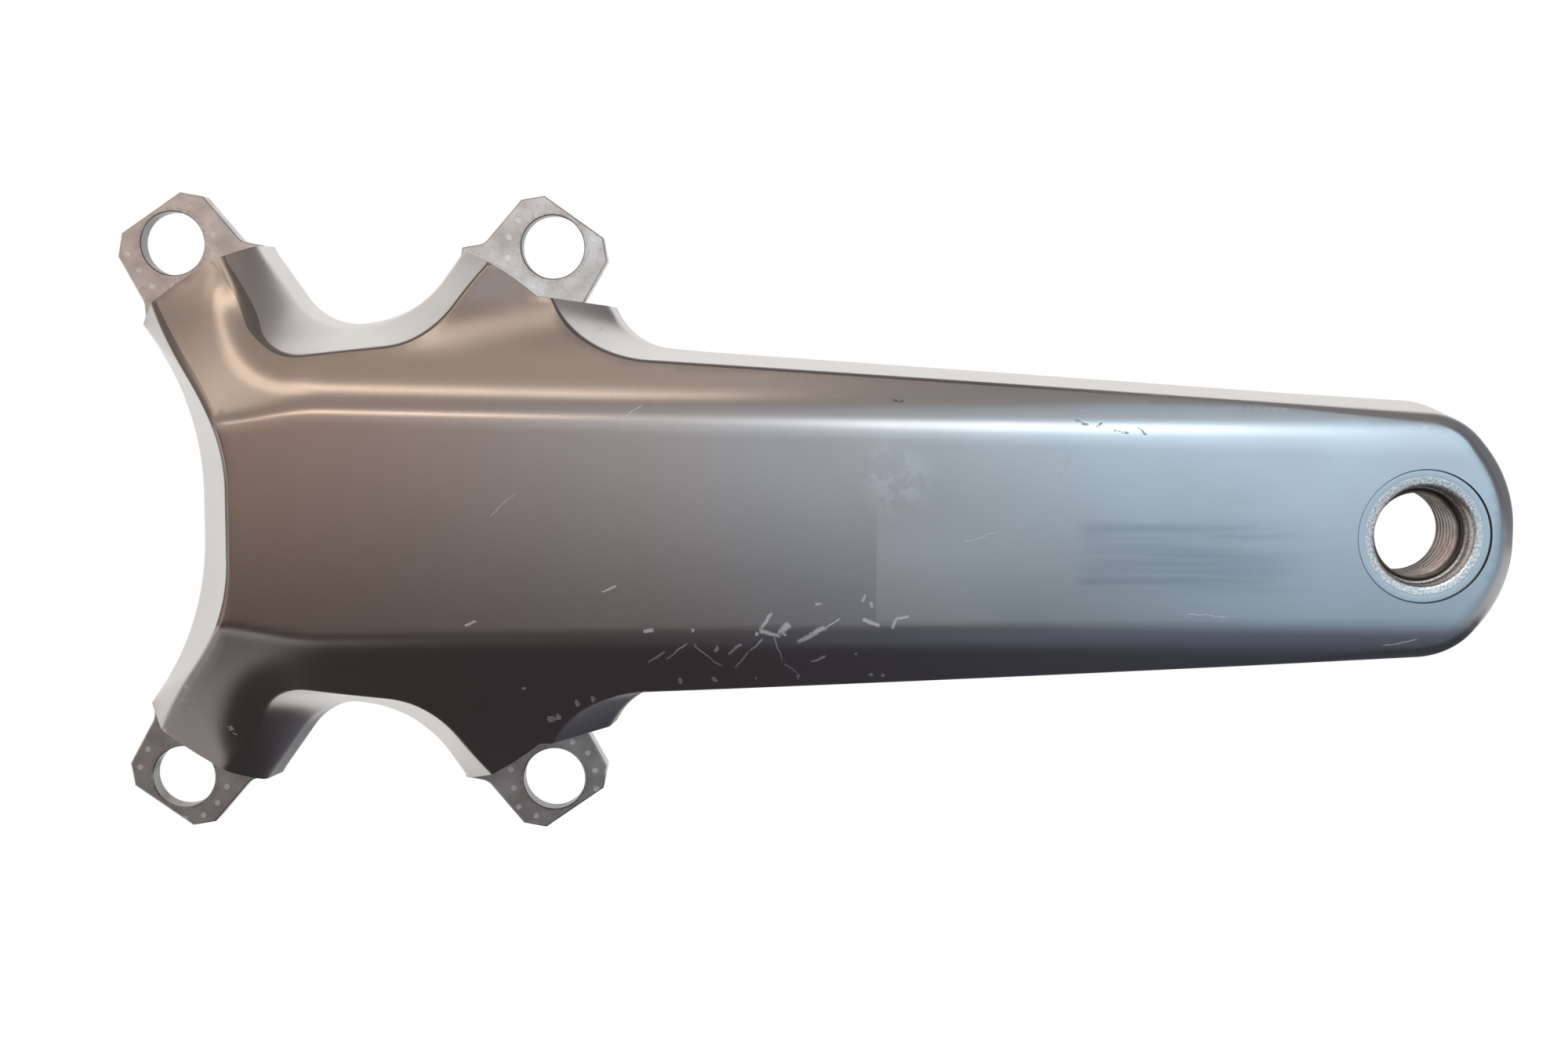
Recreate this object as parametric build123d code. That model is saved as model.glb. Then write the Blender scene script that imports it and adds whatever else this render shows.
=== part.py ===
from build123d import *
import os
from math import cos, hypot, radians, sin, sqrt, tan

# Drive-side crank arm with a four-arm spider, a bonded inner cover and a pressed-in hollow spindle.
# Frame: +X runs along the arm to the pedal, -Y is outboard, +Z is up. The origin is on the spindle axis
# at the middle plane of the bicycle, so an outboard distance is a distance along -Y.

# Layout
ARM_LENGTH = 170.0         # spindle axis to pedal axis
HUB_FACE = 72.2            # outboard distance of the outer face at the spindle axis
EYE_FACE = 73.0            # outboard distance of the outer face at the pedal axis
TAB_FACE = 48.0            # outboard distance of the chainring seats
EYE_THICKNESS = 14.5

# Chainring tabs on an uneven four-bolt circle
BOLT_CIRCLE = 110.0
BOLT_ANGLE = 55.0          # crank arm axis to spider arm axis
BOLT_HOLE = 10.5
TAB_THICKNESS = 3.6
TAB_REACH = 6.1            # bolt axis to the tab's outer edge
TAB_HALF = 8.7
TAB_CHAMFER = 2.75
TAB_ROOT_HALF = 9.7
TAB_ROOT_GAP = 2.2         # from the shoulder to where the tab starts to widen into it
TAB_ROOT_RADIUS = 2.5
TAB_ROOT_DEPTH = 18.0      # bolt axis to the buried end of the tab
SEAT_DEPTH = 7.5           # bolt axis to the shoulder that the chainring butts against
ROOT_SEAT = 36.4           # half width between the straight shoulders on the crank arm's side
ROOT_SEAT_ANGLE = 6.3

# Outer face: a flat facet between two ridges, bevels beside it and shallower skirts on the spider arms.
# Pairs of values hold at the hub's left edge and at the pedal axis, and change evenly between.
RIDGE_HALF = (19.7, 14.6)
RIDGE_BLEND = (2.6, 4.2)   # half width of the rounding of the ridges
BEVEL_WIDTH = (8.8, 5.4)
BEVEL_SLOPE = (0.93, 0.36)
SKIRT_SLOPE = (0.49, 0.30)
SKIRT_BLEND = 4.0
END_TILT = 0.14            # extra slope of the left spider arms towards their outer side
END_TILT_START = 18.5      # where it starts, left of the spindle axis
END_TILT_BLEND = 6.0
EDGE_RADIUS = 1.2

# Side walls: plan of the front edge, and how far each stretch flares out to the rim behind it
RIM_RISE = 3.5             # rim above the chainring seats
WALL_LEAN = 0.35           # share of a flare that is a straight slope, the rest curves out
HUB_LEFT = 16.2
HUB_LEFT_FLARE = 9.9
HUB_LEFT_RADIUS = 28.0
HUB_LEFT_RADIUS_RIM = 46.0
SPIDER_HALF = 5.0
SPIDER_FLARE = 6.0
BAY_FLOOR_LEFT = 25.9
BAY_FLOOR_RIGHT = 28.9
BAY_FLOOR_RIM = 31.6
BAY_RADIUS_LEFT = 11.0
BAY_RADIUS_RIGHT = 16.0
BAY_RADIUS_RIM = 9.0
ROOT_X = 35.5
ROOT_HALF = 27.1
ROOT_RADIUS = 22.0
ROOT_FLARE = (9.9, 1.4)
ROOT_SHOULDER_FLARE = (10.0, -0.9)
ROOT_RADIUS_RIM = 11.0
BEAM_DRAFT = 8.0
EYE_SIDE = 18.85           # half width of the arm beside the pedal eye
EYE_CORNER = 5.7           # where the side turns into the rounded end, past the pedal axis
EYE_END = 14.4
EYE_END_HALF = 8.1
EYE_CORNER_RADIUS = 10.5
EYE_END_RADIUS = 17.0
SKIRT_DRAFT = 8.0

# Inner side
BACK_START = 36.0          # where the inner face leaves the spider's back and slopes to the pedal eye
BACK_KNEE = 56.0
BACK_KNEE_FACE = 51.0      # outboard distance there
BACK_BEND_RADIUS = 25.0
EYE_FLAT = 20.0            # length of the flat inner face on the hub side of the pedal axis
BOSS_RADIUS = 16.5
BOSS_FACE = 45.0           # outboard distance of the boss that bears on the bearing
HUB_POCKET_RADIUS = 21.0
HUB_POCKET_DEPTH = 8.6
SPIDER_POCKET_START = 27.0  # relief behind each spider arm, along its axis from the spindle
SPIDER_POCKET_END = 44.0
SPIDER_POCKET_HALF = 7.2
SPIDER_POCKET_DEPTH = 10.5
SPIDER_POCKET_TAPER = 20.0

# Hollow of the arm and the bonded cover that closes it
WALL_THICKNESS = 2.8
FACE_SKIN = 3.0
HOLLOW_START = 31.0        # distances from the spindle axis
COVER_START = 60.0
COVER_END_GAP = 23.0       # cover's end to the pedal axis
COVER_THICKNESS = 2.5
COVER_RADIUS = 8.0
COVER_LEDGE = 2.5          # width and thickness of the ledge that carries the cover
BOND_GAP = 0.1

# Pedal eye: sunken seat, counterbore and the plain bore of the pedal thread
EYE_SEAT_DIAMETER = 20.9
EYE_SEAT_DEPTH = 0.3
EYE_COUNTERBORE = 15.6
EYE_COUNTERBORE_DEPTH = 3.0
PEDAL_THREAD = 14.29
EYE_CHAMFER = 0.6          # at the inner mouth of the bore

# Hollow spindle, pressed into the boss for good
SPINDLE_DIAMETER = 24.0    # bearing journal
SPINDLE_SEAT_DIAMETER = 24.6
SPINDLE_SEAT = 21.0        # depth of the press fit in the boss
PRESS_GAP = 0.02           # on the diameter
SPINDLE_BORE = 20.5
SPLINE_START = 45.0        # inboard distances past the middle plane
SPINDLE_END = 65.0
SPLINE_DIAMETER = 23.6
SPLINE_BORE = 19.0
SPLINE_COUNT = 24
SPLINE_DEPTH = 0.9
SPLINE_GROOVE = 1.5
SPLINE_RELIEF = 2.0
SPINDLE_CHAMFER = 0.8

# Values that follow from the driving ones
TAB_BACK = TAB_FACE - TAB_THICKNESS
RIM_LEVEL = TAB_FACE + RIM_RISE
TOP_LEVEL = max(HUB_FACE, EYE_FACE) + 3.0
EYE_BACK = EYE_FACE - EYE_THICKNESS
BOLT_RADIUS = BOLT_CIRCLE / 2
STEP_RADIUS = BOLT_RADIUS - SEAT_DEPTH
TIP = BOLT_RADIUS          # the walls are drawn this far out, and cut back to the shoulder
REACH = ARM_LENGTH + 60.0  # farther than any end of the arm
WALL_LEVELS = 7
FACE_GRID = (34, 63)       # points that the outer face is drawn through, along and across
FACET_RISE = (EYE_FACE - HUB_FACE) / ARM_LENGTH


def at_level(outboard):
    """Plane across the arm at an outboard distance: its x is X and its y is Z."""
    return Plane.XZ.offset(outboard)


def on_spider(side, along, across):
    """Point on a spider arm. side is 1 towards the pedal, -1 away; across is positive away from the bay."""
    angle = radians(BOLT_ANGLE)
    x = along * cos(angle) + across * sin(angle)
    z = along * sin(angle) - across * cos(angle)
    return side * x, z


def spider_at_z(side, across, z):
    """Point where a line beside a spider arm's axis reaches a height."""
    along = (z + across * cos(radians(BOLT_ANGLE))) / sin(radians(BOLT_ANGLE))
    return on_spider(side, along, across)


def spider_at_x(side, across, x):
    """Point where a line beside a spider arm's axis reaches a distance along X."""
    along = (side * x - across * sin(radians(BOLT_ANGLE))) / cos(radians(BOLT_ANGLE))
    return on_spider(side, along, across)


def shifted(point, by):
    return point[0] + by[0], point[1] + by[1]


def past(start, through, by):
    """Point on the line from start through a second point, a distance beyond it."""
    run = hypot(through[0] - start[0], through[1] - start[1])
    reach = 1 + by / run
    return start[0] + (through[0] - start[0]) * reach, start[1] + (through[1] - start[1]) * reach


def between(a, b, share):
    return a + (b - a) * share


def eased(past_bend, blend):
    """Distance past a bend, nothing before it, with the change rounded over a blend on each side."""
    if past_bend <= -blend:
        return 0.0
    if past_bend >= blend:
        return past_bend
    return (past_bend + blend) ** 2 / (4 * blend)


def along_arm(pair, x):
    """Value at a distance along X of one of the pairs that change evenly along the arm."""
    return between(pair[0], pair[1], (x + HUB_LEFT) / (ARM_LENGTH + HUB_LEFT))


def face_level(x, z):
    """Outboard distance of the outer face."""
    past_ridge = abs(z) - along_arm(RIDGE_HALF, x)
    width = along_arm(BEVEL_WIDTH, x)
    slope = along_arm(BEVEL_SLOPE, x)
    skirt = eased(past_ridge - width, SKIRT_BLEND)
    ridge = eased(past_ridge, along_arm(RIDGE_BLEND, x))
    tilt = END_TILT * eased(-END_TILT_START - x, END_TILT_BLEND)
    drop = slope * ridge + (along_arm(SKIRT_SLOPE, x) - slope) * skirt + tilt * (ridge - skirt) / width
    return HUB_FACE + FACET_RISE * x - drop


def outline_corners():
    """Corners of the plan's upper half: front edge, rim, corner radius at each, and straight share."""
    rim_half = SPIDER_HALF + SPIDER_FLARE
    left_rim = -HUB_LEFT - HUB_LEFT_FLARE
    corners = [
        (spider_at_x(-1, SPIDER_HALF, -HUB_LEFT), spider_at_x(-1, rim_half, left_rim),
         HUB_LEFT_RADIUS, HUB_LEFT_RADIUS_RIM, WALL_LEAN),
        (on_spider(-1, TIP, SPIDER_HALF), on_spider(-1, TIP, rim_half), 0, 0, WALL_LEAN),
        (on_spider(-1, TIP, -SPIDER_HALF), on_spider(-1, TIP, -rim_half), 0, 0, WALL_LEAN),
        (spider_at_z(-1, -SPIDER_HALF, BAY_FLOOR_LEFT), spider_at_z(-1, -rim_half, BAY_FLOOR_RIM),
         BAY_RADIUS_LEFT, BAY_RADIUS_RIM, WALL_LEAN),
        (spider_at_z(1, -SPIDER_HALF, BAY_FLOOR_RIGHT), spider_at_z(1, -rim_half, BAY_FLOOR_RIM),
         BAY_RADIUS_RIGHT, BAY_RADIUS_RIM, WALL_LEAN),
        (on_spider(1, TIP - SPIDER_HALF, -SPIDER_HALF), on_spider(1, TIP, -rim_half), 0, 0, WALL_LEAN),
    ]
    root = (ROOT_X, ROOT_HALF)
    root_rim = shifted(root, ROOT_FLARE)
    shoulder = on_spider(1, STEP_RADIUS, SPIDER_HALF)
    shoulder_rim = shifted(shoulder, ROOT_SHOULDER_FLARE)
    corners.append((past(root, shoulder, SEAT_DEPTH), past(root_rim, shoulder_rim, SEAT_DEPTH), 0, 0, WALL_LEAN))
    corners.append((root, root_rim, ROOT_RADIUS, ROOT_RADIUS_RIM, WALL_LEAN))
    for past_axis, half, radius in (
        (EYE_CORNER, EYE_SIDE, EYE_CORNER_RADIUS),
        (EYE_END, EYE_END_HALF, EYE_END_RADIUS),
    ):
        front = (ARM_LENGTH + past_axis, half)
        flare = tan(radians(BEAM_DRAFT)) * (face_level(*front) - RIM_LEVEL)
        size = hypot(past_axis, half)
        rim = shifted(front, (flare * past_axis / size, flare * half / size))
        corners.append((front, rim, radius, radius + flare / 2, 1.0))
    return corners


def plan_at(outboard):
    """Face of the whole plan at an outboard distance."""
    points = []
    radii = []
    for front, rim, radius, rim_radius, lean in outline_corners():
        edge = face_level(*front)
        depth = min(max((edge - outboard) / (edge - RIM_LEVEL), 0.0), 1.0)
        share = depth * (lean + (1 - lean) * depth)
        points.append((between(front[0], rim[0], share), between(front[1], rim[1], share)))
        radii.append(between(radius, rim_radius, share))
    points += [(x, -z) for x, z in reversed(points)]
    radii += list(reversed(radii))
    return at_level(outboard) * make_face(FilletPolyline(*points, radius=radii, close=True))


def side_walls():
    """Flared walls from the rim forwards, and the drafted base behind the rim."""
    step = (TOP_LEVEL - RIM_LEVEL) / (WALL_LEVELS - 1)
    flared = loft([plan_at(RIM_LEVEL + step * i) for i in range(WALL_LEVELS)])
    base = extrude(plan_at(RIM_LEVEL), amount=TAB_BACK - RIM_LEVEL, taper=-SKIRT_DRAFT)
    return flared + base


def face_block():
    """Everything behind the outer face, which is one smooth surface."""
    start = -BOLT_RADIUS - 2 * TAB_REACH
    run = ARM_LENGTH + 2 * EYE_END - start
    half = BOLT_RADIUS + TAB_REACH
    rows = []
    for i in range(FACE_GRID[0]):
        x = start + run * i / (FACE_GRID[0] - 1)
        heights = [half * (2 * j / (FACE_GRID[1] - 1) - 1) for j in range(FACE_GRID[1])]
        rows.append([Vector(x, -face_level(x, z), z) for z in heights])
    face = Face.make_surface_from_array_of_points(rows, tol=0.01, min_deg=3, max_deg=5)
    return extrude(face, amount=TOP_LEVEL, dir=(0, 1, 0)).solid()


def shoulder_cutter():
    """What is cleared off the spider outside the chainring's shoulders."""
    slope = tan(radians(ROOT_SEAT_ANGLE))
    corner = sqrt(STEP_RADIUS**2 - ROOT_SEAT**2)
    near = ROOT_SEAT + slope * corner
    far = near - slope * REACH / 2
    keep = Polygon((0, -near), (REACH / 2, -far), (REACH / 2, far), (0, near), align=None)
    plan = Rectangle(REACH, REACH) - Circle(STEP_RADIUS) - keep
    beyond = Pos(REACH / 2 + REACH / 2, 0) * Rectangle(REACH, REACH)
    return extrude(at_level(0) * (plan - beyond), amount=TOP_LEVEL)


def tab():
    """One chainring tab, drawn along +X from the spindle axis, with its bolt hole."""
    end = BOLT_RADIUS + TAB_REACH
    half = [
        (end, TAB_HALF - TAB_CHAMFER, 0),
        (end - TAB_CHAMFER, TAB_HALF, 0),
        (STEP_RADIUS + TAB_ROOT_GAP, TAB_ROOT_HALF, TAB_ROOT_RADIUS),
        (STEP_RADIUS, SPIDER_HALF + SPIDER_FLARE, 0),
        (BOLT_RADIUS - TAB_ROOT_DEPTH, TAB_ROOT_HALF, 0),
    ]
    points = [(x, z) for x, z, _ in half] + [(x, -z) for x, z, _ in reversed(half)]
    radii = [radius for _, _, radius in half]
    plan = make_face(FilletPolyline(*points, radius=radii + radii[::-1], close=True))
    plan -= Pos(BOLT_RADIUS, 0) * Circle(BOLT_HOLE / 2)
    return extrude(plan, amount=TAB_THICKNESS)


def tab_angles():
    return [BOLT_ANGLE, 180 - BOLT_ANGLE, 180 + BOLT_ANGLE, -BOLT_ANGLE]


def back_line():
    """Inner face of the arm as (X, outboard) points, from the spider's back to past the pedal eye."""
    return [
        (BACK_START, TAB_BACK),
        (BACK_KNEE, BACK_KNEE_FACE),
        (ARM_LENGTH - EYE_FLAT, EYE_BACK),
        (REACH, EYE_BACK),
    ]


def across_arm(face):
    """Extrude a face drawn in (X, outboard) right across the arm."""
    plane = Plane(origin=(0, 0, 0), x_dir=(1, 0, 0), z_dir=(0, 0, 1))
    return extrude(plane * mirror(face, Plane.XZ), amount=REACH / 2, both=True)


def back_cutter():
    points = [(BACK_START, 0.0)] + back_line() + [(REACH, 0.0)]
    radii = [0, 0, BACK_BEND_RADIUS, BACK_BEND_RADIUS, 0, 0]
    return across_arm(make_face(FilletPolyline(*points, radius=radii, close=True)))


def behind_back(depth):
    """Everything inboard of the inner face moved outboard by a depth."""
    line = [(0.0, TAB_BACK)] + back_line()
    points = [(0.0, 0.0)] + [(x, y + depth) for x, y in line] + [(REACH, 0.0)]
    return across_arm(Polygon(*points, align=None))


def side_half(x):
    """Half width of the arm's side at the rim."""
    corners = outline_corners()
    root = corners[7][1]
    eye = corners[8][1]
    return between(root[1], eye[1], (x - root[0]) / (eye[0] - root[0]))


def arm_plan(start, end, inset, radius):
    """Plan inside the arm's sides, drawn in by an inset, between two distances along X."""
    points = [
        (start, -side_half(start) + inset),
        (end, -side_half(end) + inset),
        (end, side_half(end) - inset),
        (start, side_half(start) - inset),
    ]
    return at_level(0) * make_face(FilletPolyline(*points, radius=radius, close=True))


def cover_column(inset):
    """Column on the cover's plan, drawn in by an inset."""
    end = ARM_LENGTH - COVER_END_GAP
    plan = arm_plan(COVER_START + inset, end - inset, WALL_THICKNESS + inset, COVER_RADIUS - inset)
    return extrude(plan, amount=TOP_LEVEL)


def hollow(block):
    """Hollow of the arm with the opening that the cover closes, without the cover's rebate."""
    end = ARM_LENGTH - COVER_END_GAP
    plan = arm_plan(HOLLOW_START, end, WALL_THICKNESS, COVER_RADIUS)
    chamber = extrude(plan, amount=TOP_LEVEL) & (Pos(0, FACE_SKIN, 0) * block)
    ledge = behind_back(COVER_THICKNESS + COVER_LEDGE)
    return (chamber - ledge) + ((cover_column(COVER_LEDGE) & ledge) - behind_back(0.0))


def spider_pocket():
    """Tapered relief behind one spider arm, drawn along +X."""
    middle = (SPIDER_POCKET_START + SPIDER_POCKET_END) / 2
    length = SPIDER_POCKET_END - SPIDER_POCKET_START
    plan = Pos(middle, 0) * RectangleRounded(length, 2 * SPIDER_POCKET_HALF, SPIDER_POCKET_HALF * 0.8)
    return extrude(plan, amount=SPIDER_POCKET_DEPTH, taper=SPIDER_POCKET_TAPER)


def cylinder(x, radius, start, end):
    """Solid cylinder along the bicycle's width between two outboard distances."""
    return extrude(at_level(start) * Pos(x, 0) * Circle(radius), amount=end - start)


def arm_shell():
    walls = side_walls()
    block = face_block()
    cutter = shoulder_cutter()
    shell = (walls & block) - cutter
    front_edges = [
        edge
        for edge in new_edges(walls - cutter, block, combined=shell)
        if cutter.distance_to(Vertex(edge @ 0.5)) > 0.01
    ]
    shell = fillet(front_edges, EDGE_RADIUS)
    for angle in tab_angles():
        shell += at_level(TAB_BACK) * Rot(Z=angle) * tab()
    shell -= back_cutter()
    shell -= cylinder(0, HUB_POCKET_RADIUS, 0, TAB_BACK + HUB_POCKET_DEPTH)
    shell += cylinder(0, BOSS_RADIUS, BOSS_FACE, TAB_BACK + HUB_POCKET_DEPTH)
    shell -= cylinder(0, (SPINDLE_SEAT_DIAMETER + PRESS_GAP) / 2, 0, BOSS_FACE + SPINDLE_SEAT)
    for angle in tab_angles():
        shell -= at_level(TAB_BACK) * Rot(Z=angle) * spider_pocket()
    shell -= hollow(block)
    shell -= cover_column(0.0) & behind_back(COVER_THICKNESS)
    shell -= cylinder(ARM_LENGTH, PEDAL_THREAD / 2, 0, TOP_LEVEL)
    mouth = Cone(PEDAL_THREAD / 2 + EYE_CHAMFER, PEDAL_THREAD / 2, EYE_CHAMFER)
    shell -= at_level(EYE_BACK) * Pos(ARM_LENGTH, 0, EYE_CHAMFER / 2) * mouth
    shell -= cylinder(ARM_LENGTH, EYE_COUNTERBORE / 2, EYE_FACE - EYE_COUNTERBORE_DEPTH, TOP_LEVEL)
    shell -= cylinder(ARM_LENGTH, EYE_SEAT_DIAMETER / 2, EYE_FACE - EYE_SEAT_DEPTH, TOP_LEVEL)
    return shell


def inner_cover():
    return (cover_column(BOND_GAP) & behind_back(COVER_THICKNESS)) - behind_back(0.0)


def spindle():
    """Hollow axle, drawn along its own axis from the buried end, with a splined inboard end."""
    buried = BOSS_FACE + SPINDLE_SEAT
    length = buried + SPINDLE_END
    seat = SPINDLE_SEAT_DIAMETER / 2
    journal = SPINDLE_DIAMETER / 2
    tip = SPLINE_DIAMETER / 2
    spline_length = SPINDLE_END - SPLINE_START
    profile = [
        (SPINDLE_BORE / 2, 0),
        (seat - SPINDLE_CHAMFER, 0),
        (seat, SPINDLE_CHAMFER),
        (seat, SPINDLE_SEAT),
        (journal, SPINDLE_SEAT),
        (journal, length - spline_length),
        (tip, length - spline_length),
        (tip, length - SPINDLE_CHAMFER),
        (tip - SPINDLE_CHAMFER, length),
        (SPLINE_BORE / 2 + SPINDLE_CHAMFER, length),
        (SPLINE_BORE / 2, length - SPINDLE_CHAMFER),
        (SPLINE_BORE / 2, length - spline_length),
        (SPINDLE_BORE / 2, length - spline_length - SPLINE_RELIEF),
    ]
    axle = revolve(Plane.XZ * make_face(Polyline(*profile, close=True)), Axis.Z)
    groove = Box(SPLINE_DEPTH * 2, SPLINE_GROOVE, 2 * (spline_length - SPLINE_RELIEF))
    wide = (0, SPLINE_COUNT // 2)
    for i in range(SPLINE_COUNT):
        if i not in wide:
            axle -= Rot(Z=360 * i / SPLINE_COUNT) * Pos(tip, 0, length) * groove
    return Pos(0, -buried, 0) * Rot(X=-90) * axle


shell = arm_shell()
cover = inner_cover()
axle = spindle()
os.makedirs("parts", exist_ok=True)
export_step(shell, "parts/arm_shell.step")
export_step(cover, "parts/inner_cover.step")
export_step(axle, "parts/spindle.step")
for name, piece in (("arm_shell", shell), ("inner_cover", cover), ("spindle", axle)):
    box = piece.bounding_box()
    print(name, piece.is_valid, len(piece.solids()), len(piece.faces()), round(piece.volume), box.min, box.max)
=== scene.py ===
from math import acos, atan2, cos, hypot, pi, radians, sin, sqrt, tan

import bmesh
import bpy
from mathutils import Matrix, Vector
from mathutils.geometry import delaunay_2d_cdt, intersect_point_line
from mathutils.kdtree import KDTree


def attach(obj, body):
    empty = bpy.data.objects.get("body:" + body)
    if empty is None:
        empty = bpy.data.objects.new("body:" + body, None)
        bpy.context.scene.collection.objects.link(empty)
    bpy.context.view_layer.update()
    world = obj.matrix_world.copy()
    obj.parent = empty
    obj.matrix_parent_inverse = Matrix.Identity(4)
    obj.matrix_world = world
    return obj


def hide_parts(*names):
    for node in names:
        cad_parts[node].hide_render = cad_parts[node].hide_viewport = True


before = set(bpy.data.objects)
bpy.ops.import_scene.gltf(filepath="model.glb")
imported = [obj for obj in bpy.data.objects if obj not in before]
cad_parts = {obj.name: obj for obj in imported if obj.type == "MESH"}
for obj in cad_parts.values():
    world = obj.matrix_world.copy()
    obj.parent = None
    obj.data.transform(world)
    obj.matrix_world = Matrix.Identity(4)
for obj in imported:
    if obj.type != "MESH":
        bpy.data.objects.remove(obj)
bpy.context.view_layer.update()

# Sizes are in millimetres and become metres where a mesh is made.
# An outboard distance is a distance along -Y.
MM = 0.001

# Layout of the arm, as in the solids
ARM_LENGTH = 170.0
HUB_FACE = 72.2
EYE_FACE = 73.0
TAB_FACE = 48.0
TAB_BACK = 44.4
RIM_LEVEL = 51.5
TOP_LEVEL = 76.0
BOLT_RADIUS = 55.0
BOLT_ANGLE = radians(55.0)
STEP_RADIUS = 47.5
ROOT_SEAT = 36.4
ROOT_SEAT_SLOPE = tan(radians(6.3))

# Outer face: a flat facet, a narrow band beside it that widens onto the left spider arms, then a steeper
# bevel and a shallower skirt. Pairs hold at the hub's left edge and at the pedal axis.
BAND_START = (18.5, 15.4)
BAND_START_BLEND = (1.3, 2.6)
BAND_SLOPE = (0.5, 0.17)
BAND_DIP = 0.3
BAND_DIP_START = 6.0
BAND_DIP_EASE = 0.05
BEVEL_START = (21.7, 17.6)
BEVEL_START_BLEND = (1.6, 2.6)
BEVEL_SLOPE = (0.87, 0.36)
BEVEL_RISE = 1.06
BEVEL_RISE_START = 12.3
BEVEL_SOFTER = (0.15, 0.08)
BEVEL_FADE = 0.95
BEVEL_FADE_RISE = 10.5
SKIRT_START = (33.0, 20.5)
SKIRT_SLOPE = (0.36, 0.30)
SKIRT_BLEND = 5.0
SKIRT_WITH_BEVEL = 0.7
SKIRT_RISE = 0.27
SKIRT_RISE_START = 16.0
END_TILT = 0.2
END_TILT_START = 8.0
END_BLEND = 5.0
END_TILT_RUN = 20.0
END_TILT_SOFT = 0.15
FACET_RISE = (EYE_FACE - HUB_FACE) / ARM_LENGTH

# Side walls
WALL_LEAN = 0.75
LEFT_BAY_LEAN = 1.6
LEFT_BAY_RUN = 30
HUB_LEFT = 16.2
HUB_LEFT_RIM = 26.1
HUB_LEFT_RADII = (28.0, 46.0)
SPIDER_HALF = 5.0
SPIDER_HALF_RIM = 11.0
LEFT_ARM_RIM = 12.0
BAY_FLOOR_LEFT = 25.9
BAY_FLOOR_RIGHT = 28.9
BAY_FLOOR_LEFT_RIM = 30.1
BAY_FLOOR_RIGHT_RIM = 33.0
BAY_RADII_LEFT = (11.0, 11.0)
BAY_RADII_RIGHT = (16.0, 20.0)
ROOT = (35.5, 27.1)
ROOT_RADII = (22.0, 11.0)
ROOT_FLARE = (9.9, 1.4)
ROOT_SHOULDER_FLARE = (10.0, -0.9)
ROOT_OVERRUN = 7.5
BEAM_FLARE = tan(radians(8.0))
SKIRT_FLARE = tan(radians(8.0))
EYE_CORNERS = ((5.7, 18.85, 12.0), (14.4, 8.1, 20.5))

# Inner side
BACK_BENDS = ((36.0, 44.4, 1.5), (56.0, 51.0, 4.0), (150.0, 58.5, 3.0))
POCKET_START = 27.0
POCKET_END = 44.0
POCKET_HALF = 7.2
POCKET_CORNER = 5.76
POCKET_LEAST_CORNER = 0.5
COVER_START = 60.0
COVER_END = 147.0
COVER_EDGE = 2.8
COVER_CORNER = 8.0
COVER_REBATE = 2.55
COVER_CLEARANCE = 6.0

# Thread of the pedal eye, from its start to its end as outboard distances
THREAD_ENDS = (59.2, 69.5)
THREAD_ROOT = 7.145
THREAD_CREST = 6.52
THREAD_PITCH = 1.27
THREAD_BITE = 0.08
THREAD_ROOT_SHARE = 0.98
THREAD_CREST_SHARE = 0.14
THREAD_RUN_OUT = 0.07
THREAD_TIP = 0.05
THREAD_STEPS = 72

# Roundings of the edges
FACE_EDGE = 1.2
SHOULDER_EDGE = 0.25
ROOT_SEAT_EDGE = 0.5
ROOT_EDGE_RUN = 9
BACK_EDGE = 0.7
LEFT_ARM_EDGE = 5.5
LEFT_ARM_ROUND_RUN = 26
PEDAL_END_EDGE = 3.0
PEDAL_END_RUN = (140.0, 176.0)
CREASE_ANGLE = 32.0
BORE_SIDES = 160

# Steps along the runs of the plan
HUB_STEPS = 6
HUB_ARC_STEPS = 26
LEFT_ARM_STEPS = 9
BAY_STEPS = 8
BAY_ARC_STEPS = (16, 18)
ROOT_LINE_STEPS = 30
ROOT_ARC_STEPS = 60
ROOT_STEPS = 26
BEAM_STEPS = 88
EYE_ARC_STEPS = 14
EYE_STEPS = 3
END_ARC_STEPS = 12
END_STEPS = 6
POCKET_ARC_STEPS = 10
COVER_ARC_STEPS = 12


# Plan of the arm

def between(a, b, share):
    return a + (b - a) * share


def point_between(a, b, share):
    return between(a[0], b[0], share), between(a[1], b[1], share)


def on_spider(side, along, across):
    """Point on a spider arm. side is 1 towards the pedal, -1 away; across is positive away from the bay."""
    x = along * cos(BOLT_ANGLE) + across * sin(BOLT_ANGLE)
    z = along * sin(BOLT_ANGLE) - across * cos(BOLT_ANGLE)
    return side * x, z


def spider_at_z(side, across, z):
    return on_spider(side, (z + across * cos(BOLT_ANGLE)) / sin(BOLT_ANGLE), across)


def spider_at_x(side, across, x):
    return on_spider(side, (side * x - across * sin(BOLT_ANGLE)) / cos(BOLT_ANGLE), across)


def smooth(share):
    """Share from 0 to 1 that starts and ends gently."""
    share = min(max(share, 0.0), 1.0)
    return share * share * (3 - 2 * share)


def past(start, through, by):
    return point_between(start, through, 1 + by / hypot(through[0] - start[0], through[1] - start[1]))


def eased(past_bend, blend):
    """Distance past a bend, nothing before it, rounded over a blend on each side."""
    if past_bend <= -blend:
        return 0.0
    if past_bend >= blend:
        return past_bend
    return (past_bend + blend) ** 2 / (4 * blend)


def along_arm(pair, x):
    return between(pair[0], pair[1], (x + HUB_LEFT) / (ARM_LENGTH + HUB_LEFT))


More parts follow.
